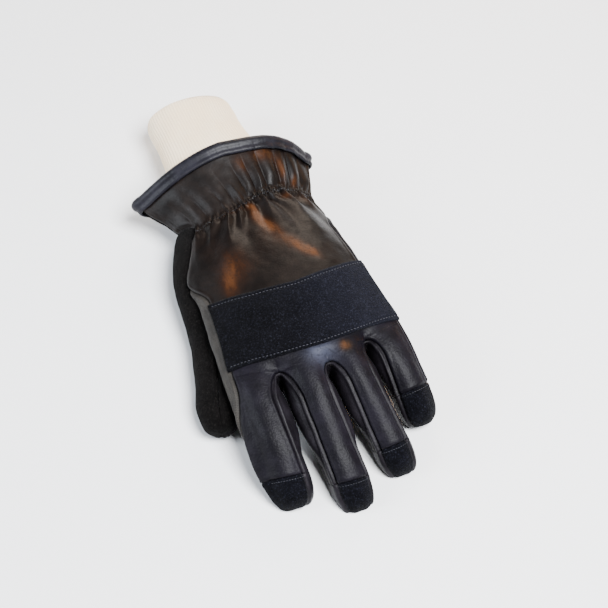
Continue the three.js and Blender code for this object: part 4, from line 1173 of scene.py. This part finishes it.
def fingers_panel(start_v, upper, name, node, finish, slot):
    """Leather over the knuckles and fingers, or the suede under them."""
    columns = spread(-1, 1, 34, 0.35)
    grids = []
    for number, finger in enumerate(FINGERS):
        def trimmed(across, open_share, number=number, finger=finger):
            freed = np.where(on_outer_side(number, across), 1, open_share)
            return across * (1 - HALF_SEAM * freed / finger["half_width"])

        def on_strip(along, across, inset, number=number):
            across = trimmed(across, gap_opening(along))
            if upper:
                return finger_top(number, across, along, inset)
            return finger_strip(number, across, along, inset, False)

        rows = spread(start_v + HALF_SEAM, ROOT_V, 44 if upper else 14)
        grids.append(sheet_of(rows, columns, lambda v, a, inset: HAND_LINE.place(
            lane_surface(number, trimmed(a, 0.0), v, inset, upper), inset)))
        shift = HALF_SEAM / (finger["tip_s"] - LANES["root"][number])
        grids.append(sheet_of(finger_rows(finger["cap"], shift), columns, lambda t, a, inset: on_finger(
            number, on_strip(t, a, inset), inset)))
    panel = Panel(grids)
    seams, caps = (TOP_SEAMS, TOP_CAPS) if upper else (LOW_SEAMS, LOW_CAPS)
    sides = [LEFT_TOP, RIGHT_TOP] if upper else [LEFT_LOW, RIGHT_LOW, CROSS_SEAM]
    sewn = nearest(panel.points, np.concatenate([seams, *sides]))
    height = turned_seam(sewn, depth=1.2, ridge=0.45 if upper else 0.1)
    height += turned_seam(nearest(panel.points, caps), depth=0.45, ridge=0.25)
    height += worn_lumps(panel.points, 0.35, SEEDS["fingers"])
    panel.raise_by(height)
    # Painted reflection and painted highlight on the knuckles.
    panel.facts["warm"] = spot(panel.points, *PAINTED_WARM_SPOT)
    panel.facts["cool"] = spot(panel.points, *PAINTED_SHEEN_SPOT)
    panel.build(name, node, finish, slot, LINING, ["warm", "cool"] if upper else [])
    return panel


def spot(points, centre, reach):
    """1 at a place on the leather, which fades over reach millimetres."""
    return np.exp(-((np.linalg.norm(points - centre, axis=-1) / reach) ** 2))


# How much fuller the walls between the fingers stand in the middle of a gap
FORK_FULLNESS = 1.0


def fourchette(number):
    """Side walls between two fingers, one folded strip round the crotch."""
    heights = np.concatenate([spread(-1, 1, 16, 0.3), spread(1, 2, 8)[1:]])

    def strip(finger, side):
        cap, tip_s = FINGERS[finger]["cap"], FINGERS[finger]["tip_s"]
        rows = finger_rows(cap, -HALF_SEAM / (tip_s - LANES["root"][finger]))

        def at(along, height, inset):
            edge = finger_edge(finger, side, along, 0)
            shift = SEAM_GAP / (edge["top"] - edge["low"])
            ends = np.where(height > 1, height - 0.06, np.maximum(height, -1 + shift))
            return on_finger(finger, finger_wall(finger, side, ends, along, inset), inset)
        return sheet_of(rows, heights, at, full=lambda along, height: (
            smooth(along / 0.15) * (1 - smooth((along - 0.42) / 0.25)) * crown(np.minimum(height, 1), 2)))

    near, far = strip(number, 1), strip(number + 1, -1)
    near = {key: value[::-1] for key, value in near.items()}
    far["outer"][0], far["inner"][0] = near["outer"][-1], near["inner"][-1]
    panel = Panel([near, far])
    edges = np.concatenate([FINGER_SEAMS[(finger, side, upper)]
                            for finger, side in ((number, 1), (number + 1, -1)) for upper in (True, False)])
    height = turned_seam(nearest(panel.points, edges), depth=0.9, ridge=0.15, lip=0.45)
    height += worn_lumps(panel.points, 0.35, SEEDS["fingers"]) + FORK_FULLNESS * panel.facts["full"]
    panel.raise_by(height)
    name = f"{FINGERS[number]['name']}_{FINGERS[number + 1]['name']}"
    panel.build(f"fork_{name}", f"fourchette_{name}", FORK_LEATHER_PAINTED_LIGHTER, "smooth_leather", LINING)


def side_gusset(number, side, share_at, start_v, name, node, finish):
    """Strip along an outer side, from its pointed start on the hand to the fingertip's cap."""
    finger = FINGERS[number]
    heights = spread(-1, 1, 18, 0.3)

    def on_palm_side(v, height, inset):
        r = section(station(np.full_like(v, side), v, 0, True))
        span = 1 - 2 * share_at(v) - SEAM_GAP / (r["top_seam"] - r["low_seam"])
        return HAND_LINE.place(hand_side(side, height * np.maximum(span, 0.08), v, inset), inset)

    def beside_finger(along, height, inset):
        edge = finger_edge(number, side, along, 0)
        span = 1 - SEAM_GAP / (edge["top"] - edge["low"])
        upper_end = np.minimum(seam_height(number, side, along), 1)
        level = mix(-1, upper_end, (height + 1) / 2) * span
        return on_finger(number, finger_side(number, side, level, along, inset), inset)

    hand = sheet_of(spread(start_v, ROOT_V, 80), heights, on_palm_side)
    shift = HALF_SEAM / (finger["tip_s"] - LANES["root"][number])
    along = sheet_of(spread(0, finger["cap"] - shift, 70), heights, beside_finger)
    along["outer"][0], along["inner"][0] = hand["outer"][-1], hand["inner"][-1]
    panel = Panel([hand, along], drop=in_thumb if side < 0 else None)
    seams = [FINGER_SEAMS[(number, side, True)], FINGER_SEAMS[(number, side, False)]]
    seams += [LEFT_TOP, LEFT_LOW] if side < 0 else [RIGHT_TOP, RIGHT_LOW]
    height = turned_seam(nearest(panel.points, np.concatenate(seams)), depth=0.9, ridge=0.2, lip=0.35)
    height += turned_seam(nearest(panel.points, SIDE_CAPS), depth=0.6, ridge=0.1)
    if side < 0:
        height += turned_seam(np.abs(outside_thumb(panel.points)), depth=0.8, ridge=0.1)
    height += worn_lumps(panel.points, 0.35, SEEDS["fingers"])
    panel.raise_by(height)
    panel.build(name, node, finish, "smooth_leather", LINING)


def fingertip(number):
    """Suede cap round a fingertip: a hollow cup."""
    finger = FINGERS[number]
    shift = HALF_SEAM / (finger["tip_s"] - LANES["root"][number])
    start = finger["cap"] + shift
    rows = start + (1 - start) * np.sin(np.linspace(0, np.pi / 2, 44)) ** 0.9
    flat, heights = spread(-1, 1, 32, 0.3), spread(2, -1, 22, 0.2)
    at = lambda flat_at: (lambda t, place, inset: on_finger(number, flat_at(t, place, inset), inset))

    def top(t, across, inset):
        kept = 1 - np.where(across < 0, seam_inset(number, -1, t), seam_inset(number, 1, t))
        return finger_strip(number, across * kept, t, inset, True)

    leather_sides = (1,) if FINGERS[number]["name"] == "index" else (1, 3)
    panel = Panel([
        sheet_of(rows, flat, at(top)),
        sheet_of(rows, heights, at(lambda t, h, inset: finger_wall(number, 1, h, t, inset))),
        sheet_of(rows, flat[::-1], at(lambda t, a, inset: finger_strip(number, a, t, inset, False))),
        sheet_of(rows, heights[::-1], at(lambda t, h, inset: finger_wall(number, -1, h, t, inset))),
    ])
    around = np.concatenate([TOP_CAPS, LOW_CAPS, SIDE_CAPS])
    own = np.concatenate([FINGER_SEAMS[(number, side, upper)] for side in (-1, 1) for upper in (True, False)
                          if (number, side, upper) != (0, -1, True)])
    height = turned_seam(nearest(panel.points, around), depth=0.45, ridge=0.25)
    height += turned_seam(nearest(panel.points, own), depth=0.8, ridge=0.2)
    height += worn_lumps(panel.points, 0.35, SEEDS["fingers"])
    panel.raise_by(height)
    panel.build(f"tip_cap_{finger['name']}", f"fingertip_{finger['name']}", BLACK_SUEDE, "suede", LINING,
                beside=FORK_LEATHER_PAINTED_LIGHTER, beside_grids=leather_sides)
    return panel


PATCH_LENGTH = 43.0
PATCH_ROWS_EDGE = 0.3
PATCH_STITCH_INSET = 2.4


def knuckle_patch():
    """Suede patch across the knuckles, sewn down along both long edges."""
    columns = spread(-1, 1, 34)
    rows = spread(0, 1, 62, PATCH_ROWS_EDGE)
    grids = []
    for number in range(4):
        def at(share, across, inset, number=number):
            trimmed = np.where(on_outer_side(number, across), across * PATCH["side"], across)
            root = mix(LANES["root"][number], LANES["root"][number + 1], (trimmed + 1) / 2)
            end_v = PATCH["end_s"] - (root - ROOT_V) * row_spread(PATCH["end_s"])
            flat = lane_surface(number, trimmed, mix(PATCH["start_v"], end_v, share), inset, True)
            return HAND_LINE.place(flat)
        # Painted light: the patch grows paler towards its right end.
        grids.append(sheet_of(
            rows, columns, at, depths=(-PATCH["lift"] - PATCH_THICKNESS, -PATCH["lift"]),
            row=lambda share, across: share,
            rubbed=lambda share, across, number=number: smooth((number + across / 2 - 0.6) / 2.4)))
    panel = Panel(grids)
    share = panel.facts["row"]
    from_edge = np.minimum(share, 1 - share) * PATCH_LENGTH
    from_stitches = from_edge - PATCH_STITCH_INSET
    height = -0.9 * np.exp(-((from_edge / 0.7) ** 2)) - 0.4 * np.exp(-((from_stitches / 0.8) ** 2))
    height += worn_lumps(panel.points, 0.3, SEEDS["patch"])
    panel.raise_by(height)
    panel.build("knuckle_patch", "knuckle_panel", PATCH_SUEDE, "suede", facts=["rubbed"])
    return panel


def thumb_half(side, name, node):
    """The thumb's outer or inner half, with its seams along the top and below."""
    root, rounded, end = THUMB["y"][0], THUMB_END["rows_from"], THUMB["y"][-1]
    rows = np.concatenate([spread(root, rounded, 120)[:-1],
                           rounded + (end - rounded) * np.sin(np.linspace(0, np.pi / 2, 26))])
    shift = 0.012
    turns = np.pi / 2 + side * spread(shift, np.pi - shift, 74, 0.2)
    grid = sheet_of(rows, turns, lambda y, turn, inset: thumb_point(np.maximum(y, end + inset), turn, inset))
    panel = Panel([grid], drop=lambda p: outside_hand(p) < HIDDEN_IN_HAND)
    y = spread(root, end + 0.4, 260)
    seams = np.concatenate([thumb_point(y, np.full_like(y, turn)) for turn in (np.pi / 2, -np.pi / 2)])
    seam_depth = mix(0.25, 0.9, smooth((CENTRE[1] - 118 - panel.points[:, 1]) / -14))
    height = turned_seam(nearest(panel.points, seams), depth=seam_depth, ridge=0.3)
    height += turned_seam(np.abs(outside_hand(panel.points)), depth=0.7, ridge=0.0)
    height += worn_lumps(panel.points, 0.5, SEEDS["thumb"])
    panel.raise_by(height)
    panel.build(name, node, PALM_SUEDE, "suede", LINING)


def cuff_binding():
    """Rolled edging round the rim, finely wrinkled where it bends.

    Its section is a list of places: how far out from the leather, and how far past the rim."""
    fold, flap, ease = 1.6, 7, 0.95
    slot = WALL + ease
    outside = ease + fold
    curve = np.array([
        [ease + 0.25, -flap - 0.35], [ease + fold * 0.8, -flap], [outside, -flap + 1.2],
        [outside - 0.15, -4.6], [outside - 0.45, -3.6], [outside + 0.1, -2.4], [outside + 0.45, -0.9],
        [outside + 0.1, 0.7], [1.5, 1.9], [0.4, 2.45], [-WALL / 2, 2.7], [-slot + 0.5, 2.5],
        [-slot - 0.6, 1.7], [-slot - fold, 0.4], [-slot - fold, -flap], [-slot, -flap], [-slot, -3],
        [-slot, SEAM_GAP], [ease, SEAM_GAP], [ease, -3], [ease, -flap],
    ])
    around = np.interp(np.linspace(0, 1, 901)[:-1], np.linspace(0, 1, 2401), arc_even(RIM_V))
    edge = hand_ring(around, RIM_V)
    before = hand_ring(around, RIM_V + 3)
    inside = hand_ring(around, RIM_V, WALL)
    along = unit(edge - before)
    out = edge - inside
    out = unit(out - along * np.sum(out * along, -1, keepdims=True))
    points = edge[:, None] + out[:, None] * curve[None, :, :1] + along[:, None] * curve[None, :, 1:]
    number = np.arange(len(around))
    pinch = lattice_noise(np.stack([number * 0.30, number * 0, number * 0], -1), 1.0, 5)
    slow = lattice_noise(np.stack([number * 0.04, number * 0, number * 0], -1), 1.0, 6)
    outer_part = np.isin(np.arange(len(curve)), range(13))
    lift = (0.05 * pinch * mix(0.3, 1, smooth(0.5 + slow)) + 0.20 * slow)[:, None] * outer_part
    points = points + out[:, None] * lift[..., None]
    points[..., 2] = np.maximum(points[..., 2], 0)
    size, count = len(curve), len(points)
    ids = np.arange(count * size).reshape(count, size)
    right, down = np.roll(ids, -1, 0), np.roll(ids, -1, 1)
    faces = np.stack([ids, down, np.roll(down, -1, 0), right], -1).reshape(-1, 4)
    mesh = bpy.data.meshes.new("cuff_edging")
    mesh.from_pydata((points.reshape(-1, 3) * MM).tolist(), [], faces.tolist())
    mesh.materials.append(EDGE_LEATHER)
    turn_outwards(mesh)
    show("cuff_edging", mesh, "smooth_leather", "cuff_binding")


def arc_even(v):
    """Places round the hand at even arc lengths of the row v, from -1 to 5."""
    ring = np.linspace(-1, 5, 2401)
    walked = walk_lengths(hand_ring(ring, v, 0.0, False))
    return np.interp(np.linspace(0, walked[-1], 2401), walked, ring)


def turn_outwards(mesh):
    """Turns a closed mesh's faces so that they look outwards."""
    work = bmesh.new()
    work.from_mesh(mesh)
    bmesh.ops.recalc_face_normals(work, faces=work.faces)
    work.to_mesh(mesh)
    work.free()


def wristlet_point(ring, y, inset):
    """A point of the knit tube: it follows the hand's inside at its root and is an oval farther on."""
    hug = hand_ring(ring, 0.0, WALL + SEAM_GAP + inset, False)
    turn = np.arctan2((hug[..., 2] - WRIST_HEIGHT - 1.5) / 16, (hug[..., 0] - CENTRE[0] + 1.5) / 37)
    r = {name: column(WRISTLET, "y", name, y) for name in WRISTLET if name != "y"}
    x = CENTRE[0] + r["x"] + (r["half_width"] - inset) * np.cos(turn)
    z = r["z"] + (r["half_height"] - inset) * np.sin(turn)
    past = smooth((y - 1) / 13)
    lowest = np.where(y < TAB["end"] + 3, TAB["thickness"] + SEAM_GAP + inset, inset)
    height = np.maximum(mix(hug[..., 2], z, past), lowest)
    return np.stack([mix(hug[..., 0], x, past), CENTRE[1] + y, height], -1)


RIBS = 78


def wristlet():
    """Knit tube: fine ribs all round, and a soft rounded edge."""
    ring = np.linspace(-1, 5, 1201)
    walked = walk_lengths(wristlet_point(ring, np.full_like(ring, 60.0), 0.0))
    per_rib = 5
    share = np.linspace(0, 1, RIBS * per_rib + 1)
    even = np.interp(share * walked[-1], walked, ring)
    even[-1] = 5
    rows = np.concatenate([spread(-2, 95, 62)[:-1], 95 + 5 * np.sin(np.linspace(0, np.pi / 2, 9))])

    def at(y, place, inset):
        r = np.interp(place, share, even)
        t = np.clip((y - 95) / 5, 0, 1)
        rounding = KNIT_WALL / 2 * (1 - np.sqrt(np.maximum(1 - t * t, 0)))
        shift = rounding if inset == 0 else KNIT_WALL - rounding
        hug_safe = np.minimum(shift, KNIT_WALL)
        points = np.empty(y.shape + (3,))
        for k in range(y.shape[0]):
            points[k] = wristlet_point(r[k], y[k], hug_safe[k, 0])
        return points

    grid = sheet_of(rows, share, at, depths=(0, KNIT_WALL),
                    furrow=lambda y, place: 0.5 - 0.5 * np.cos(2 * np.pi * RIBS * place),
                    lean=lambda y, place: np.abs((RIBS * place + 0.5) % 1 - 0.5) * 2,
                    y=lambda y, place: y)
    panel = Panel([grid])
    y = panel.facts["y"]
    free = smooth((y - 16) / 14)
    height = (0.36 * (0.5 - panel.facts["furrow"]) - 0.05) * mix(0.4, 1, free)
    height += free * 0.9 * lattice_noise(panel.points, 21.0, SEEDS["knit"])
    height += free * 0.35 * lattice_noise(panel.points, 8.0, SEEDS["knit"] + 1)
    panel.raise_by(np.where(panel.points[:, 2] < 2.6, np.minimum(height, 0), height))
    panel.build("knit_wristlet", "wristlet", CREAM_KNIT, "knit", facts=["furrow", "lean"])


def wristlet_tab():
    """Suede strip under the knit tube, on which the tube rests."""
    def at(y, across, inset):
        r = {name: column(WRISTLET, "y", name, y) for name in WRISTLET if name != "y"}
        reach = (TAB["x"] + across * TAB["half_width"] - r["x"]) / r["half_width"]
        under = r["z"] - r["half_height"] * np.sqrt(1 - reach * reach)
        under = np.maximum(under, TAB["thickness"] + SEAM_GAP)
        x = CENTRE[0] + TAB["x"] + across * TAB["half_width"]
        return np.stack([x, CENTRE[1] + y, under - inset], -1)

    panel = Panel([sheet_of(spread(TAB["start"], TAB["end"], 60), spread(-1, 1, 26), at,
                            depths=(SEAM_GAP + TAB["thickness"], SEAM_GAP))])
    panel.raise_by(worn_lumps(panel.points, 0.15, SEEDS["tab"]))
    panel.build("wristlet_tab_suede", "wristlet_tab", PALM_SUEDE, "suede")
    return panel


# Stitches
def stitch_tree():
    """Geometry nodes that lay one stitch after another along a path, flat on the leather."""
    tree = bpy.data.node_groups.new("stitch_row", "GeometryNodeTree")
    face = tree.interface
    face.new_socket("Path", in_out="INPUT", socket_type="NodeSocketGeometry")
    sockets = dict(Pitch="Float", Length="Float", Thickness="Float", Seed="Int", Thread="Material")
    for name, kind in sockets.items():
        face.new_socket(name, in_out="INPUT", socket_type="NodeSocket" + kind)
    face.new_socket("Stitches", in_out="OUTPUT", socket_type="NodeSocketGeometry")

    def add(kind, settings=None, inputs=None):
        node = tree.nodes.new(kind)
        for key, value in (settings or {}).items():
            setattr(node, key, value)
        for key, value in (inputs or {}).items():
            if isinstance(value, bpy.types.NodeSocket):
                tree.links.new(value, node.inputs[key])
            else:
                node.inputs[key].default_value = value
        return node.outputs

    given = add("NodeGroupInput")
    curve = add("GeometryNodeMeshToCurve", {}, {"Mesh": given["Path"]})["Curve"]
    even = add("GeometryNodeResampleCurve", {"mode": "LENGTH"},
               {"Curve": curve, "Length": given["Pitch"]})["Curve"]
    outward = add("GeometryNodeInputNamedAttribute", {"data_type": "FLOAT_VECTOR"},
                  {"Name": "outward"})["Attribute"]
    tangent = add("GeometryNodeInputTangent")["Tangent"]
    turn = add("FunctionNodeAxesToRotation", {"primary_axis": "Z", "secondary_axis": "X"},
               {"Primary Axis": outward, "Secondary Axis": tangent})["Rotation"]
    wobble = add("FunctionNodeRandomValue", {"data_type": "FLOAT_VECTOR"},
                 {"Min": (-0.04, -0.06, -0.22), "Max": (0.04, 0.06, 0.05), "Seed": given["Seed"]})["Value"]
    turn = add("FunctionNodeRotateRotation", {"rotation_space": "LOCAL"},
               {"Rotation": turn, "Rotate By": wobble})["Rotation"]
    ball = add("GeometryNodeMeshUVSphere", {}, {"Segments": 8, "Rings": 5, "Radius": 0.5})["Mesh"]
    flat = add("ShaderNodeCombineXYZ", {},
               {"X": given["Length"], "Y": given["Thickness"], "Z": given["Thickness"]})[0]
    placed = add("GeometryNodeInstanceOnPoints", {},
                 {"Points": even, "Instance": ball, "Rotation": turn, "Scale": flat})["Instances"]
    real = add("GeometryNodeRealizeInstances", {}, {"Geometry": placed})["Geometry"]
    soft = add("GeometryNodeSetShadeSmooth", {}, {"Geometry": real})["Geometry"]
    done = add("GeometryNodeSetMaterial", {}, {"Geometry": soft, "Material": given["Thread"]})["Geometry"]
    add("NodeGroupOutput", {}, {"Stitches": done})
    return tree


STITCH_TREE = stitch_tree()


def stitch_rows(name, paths, pitch, length, thickness, seed, slot="smooth_leather", finish=NAVY_THREAD):
    """One piece with all the stitches along some paths of points and normals, in millimetres."""
    points, normals, edges = [], [], []
    above_floor = thickness / 2 + 0.08
    for line, outward in paths:
        line[:, 2] = np.maximum(line[:, 2], above_floor)
        start = sum(len(p) for p in points)
        points.append(line)
        normals.append(outward)
        edges.extend((start + k, start + k + 1) for k in range(len(line) - 1))
    mesh = bpy.data.meshes.new(name + "_path")
    mesh.from_pydata((np.concatenate(points) * MM).tolist(), edges, [])
    mesh.attributes.new("outward", "FLOAT_VECTOR", "POINT").data.foreach_set(
        "vector", np.concatenate(normals).astype(np.float32).reshape(-1))
    path = bpy.data.objects.new(name + "_path", mesh)
    bpy.context.scene.collection.objects.link(path)
    rows = path.modifiers.new("stitches", "NODES")
    rows.node_group = STITCH_TREE
    wanted = dict(Pitch=pitch * MM, Length=length * MM, Thickness=thickness * MM, Seed=seed, Thread=finish)
    for item in STITCH_TREE.interface.items_tree:
        if item.in_out == "INPUT" and item.name in wanted:
            rows[item.identifier] = wanted[item.name]
    path.update_tag()
    bpy.context.view_layer.update()
    made = bpy.data.meshes.new_from_object(path.evaluated_get(bpy.context.evaluated_depsgraph_get()))
    bpy.data.objects.remove(path)
    made.name = name
    show(name, made, slot)


def grid_path(panel, grid, at_row=None, at_column=None, lift=0.08, start=0.0, end=1.0, count=160):
    """A path along one row or one column of a panel's grid, which is given as a share of the grid's size."""
    rows, columns = panel.ids[grid].shape
    run = np.linspace(start, end, count)
    r = run * (rows - 1) if at_row is None else np.full(count, at_row * (rows - 1))
    c = run * (columns - 1) if at_column is None else np.full(count, at_column * (columns - 1))
    return panel.trace(grid, r, c, lift)


def joined(parts):
    """Paths that follow on from each other, as one."""
    return tuple(np.concatenate(values) for values in zip(*parts))


# Putting it together
back = back_panel()
palm = palm_panel()
fingers_panel(PANEL_END_V, True, "finger_leather", "finger_back_panel", FINGER_LEATHER, "smooth_leather")
fingers_low = fingers_panel(PALM_END_V, False, "finger_palm_suede", "palm_finger_panel", PALM_SUEDE, "suede")
for pair in range(3):
    fourchette(pair)
side_gusset(0, -1, left_share, 46, "index_side_strip", "index_side_gusset", SIDE_MESH)
side_gusset(3, 1, right_share, 12, "little_side_strip", "little_side_gusset", FINGER_LEATHER)
caps = [fingertip(number) for number in range(4)]
patch = knuckle_patch()
thumb_half(1, "thumb_outer_suede", "thumb_back")
thumb_half(-1, "thumb_inner_suede", "thumb_front")
cuff_binding()
wristlet()
tab = wristlet_tab()


def patch_row(from_edge, upper_edge):
    """A path from_edge millimetres inside the patch's upper or lower edge, short of its two ends."""
    rows = patch.ids[0].shape[0]
    t = from_edge / PATCH_LENGTH if upper_edge else 1 - from_edge / PATCH_LENGTH
    share = np.interp(t, spread(0, 1, rows - 1, PATCH_ROWS_EDGE), np.linspace(0, 1, rows))
    return joined([grid_path(patch, number, at_row=share, lift=0.10, start=0.10 if number == 0 else 0,
                             end=0.90 if number == 3 else 1, count=60) for number in range(4)])


def elastic_row():
    """A path across the back on the elastic's line, from near the thumb to the right side."""
    ring = np.linspace(-1.02, 1.25, 500)
    v = column(GATHER_LINE, "across", "down", ring)
    rows = np.interp(v, back.rows, np.arange(len(back.rows)))
    columns = np.interp((ring + SIDE_END) / (2 * SIDE_END), back.columns, np.arange(len(back.columns)))
    return back.trace(0, rows, columns, 0.05)


stitch_rows("elastic_stitches", [elastic_row()], pitch=2.5, length=1.5, thickness=0.42, seed=11,
            finish=DARK_THREAD)
patch_lines = [patch_row(PATCH_STITCH_INSET, upper_edge) for upper_edge in (True, False)]
stitch_rows("patch_stitches", patch_lines, pitch=2.1, length=1.35, thickness=0.48, seed=3,
            finish=PATCH_THREAD)
cap_lines = []
for number in range(4):
    cap_lines.append(grid_path(fingers_low, 2 * number + 1, at_row=0.965, start=0.05, end=0.95, count=40))
    cap_lines.append(grid_path(caps[number], 0, at_row=0.030, start=0.04, end=0.96, count=40))
stitch_rows("cap_stitches", cap_lines, pitch=1.5, length=1.2, thickness=0.30, seed=5)
palm_lines = [joined([grid_path(fingers_low, 2 * number, at_row=0.16, count=40) for number in range(4)]),
              grid_path(palm, 0, at_row=0.985, start=0.02, end=0.98)]
stitch_rows("palm_stitches", palm_lines, pitch=2.6, length=1.9, thickness=0.5, seed=7, slot="suede")
tab_lines = [grid_path(tab, 0, at_column=side, start=0.03, end=0.97) for side in (0.09, 0.91)]
tab_lines += [grid_path(tab, 0, at_row=edge, start=0.1, end=0.9, count=30) for edge in (0.04, 0.96)]
stitch_rows("tab_stitches", tab_lines, pitch=2.6, length=1.9, thickness=0.45, seed=9, slot="suede")

# Stage, light and camera
FLOOR_REACH = 4.0
FLOOR_Z = -0.0001

floor_finish = Finish("pale_floor")
tone = floor_finish.noise(0.5, 2.0)
floor_look = floor_finish.close(
    base_color=floor_finish.colours(tone, (0.86, 0.86, 0.86), (0.89, 0.89, 0.89)),
    roughness=0.7, specular_ior_level=0.2)
floor_mesh = bpy.data.meshes.new("floor")
floor_corners = [(x * FLOOR_REACH, y * FLOOR_REACH, FLOOR_Z) for x, y in ((-1, -1), (1, -1), (1, 1), (-1, 1))]
floor_mesh.from_pydata(floor_corners, [], [(0, 1, 2, 3)])
floor_mesh.materials.append(floor_look)
floor = bpy.data.objects.new("floor", floor_mesh)
bpy.context.scene.collection.objects.link(floor)

world = bpy.data.worlds.new("studio")
bpy.context.scene.world = world
world.use_nodes = True
background = world.node_tree.nodes["Background"].inputs
background["Color"].default_value = (0.95, 0.97, 1.0, 1)
background["Strength"].default_value = 0.10


def soft_light(name, where, target, size, power, colour):
    """A round lamp that faces its target."""
    light = bpy.data.lights.new(name, "AREA")
    light.shape, light.size, light.energy, light.color = "DISK", size, power, colour
    lamp = bpy.data.objects.new(name, light)
    lamp.location = where
    lamp.rotation_euler = (Vector(target) - Vector(where)).to_track_quat("-Z", "Y").to_euler()
    bpy.context.scene.collection.objects.link(lamp)


soft_light("overhead", (0.30, -0.52, 1.2), (0, 0, 0), 0.75, 74, (0.95, 0.97, 1.0))
soft_light("left_window", (-1.15, 0.15, 0.70), (0, 0, 0.02), 0.8, 26, (0.86, 0.92, 1.0))
soft_light("back_warm", (0.55, 0.95, 0.62), (0, 0.02, 0.03), 0.6, 12, (1.0, 0.84, 0.70))
soft_light("low_amber", (1.0, 0.30, 0.36), (0.02, 0.06, 0.03), 0.22, 1.9, (1.0, 0.50, 0.20))

# The camera that was fitted to the photograph: azimuth, elevation and roll are in degrees
PHOTO_WIDTH = 608.0
FOCAL_PIXELS = 1205.0
SENSOR = 36.0
CAMERA_ANGLES = [-24.76, 54.13, 3.8]
CAMERA_TARGET = (0.015657, -0.0257, 0.025)
CAMERA_DISTANCE = 0.713

camera_data = bpy.data.cameras.new("camera")
camera_data.sensor_width = SENSOR
camera_data.lens = FOCAL_PIXELS * SENSOR / PHOTO_WIDTH
camera_data.clip_start = 0.01
camera = bpy.data.objects.new("camera", camera_data)
azimuth, elevation, roll = np.radians(CAMERA_ANGLES)
level_part = np.cos(elevation)
view_back = Vector((np.sin(azimuth) * level_part, -np.cos(azimuth) * level_part, np.sin(elevation)))
level_right = Vector((np.cos(azimuth), np.sin(azimuth), 0))
level_up = view_back.cross(level_right)
view_right = level_right * np.cos(roll) + level_up * np.sin(roll)
view_up = level_up * np.cos(roll) - level_right * np.sin(roll)
turned = Matrix((view_right, view_up, view_back)).transposed().to_4x4()
camera.matrix_world = Matrix.Translation(Vector(CAMERA_TARGET) + view_back * CAMERA_DISTANCE) @ turned
bpy.context.scene.collection.objects.link(camera)
bpy.context.scene.camera = camera
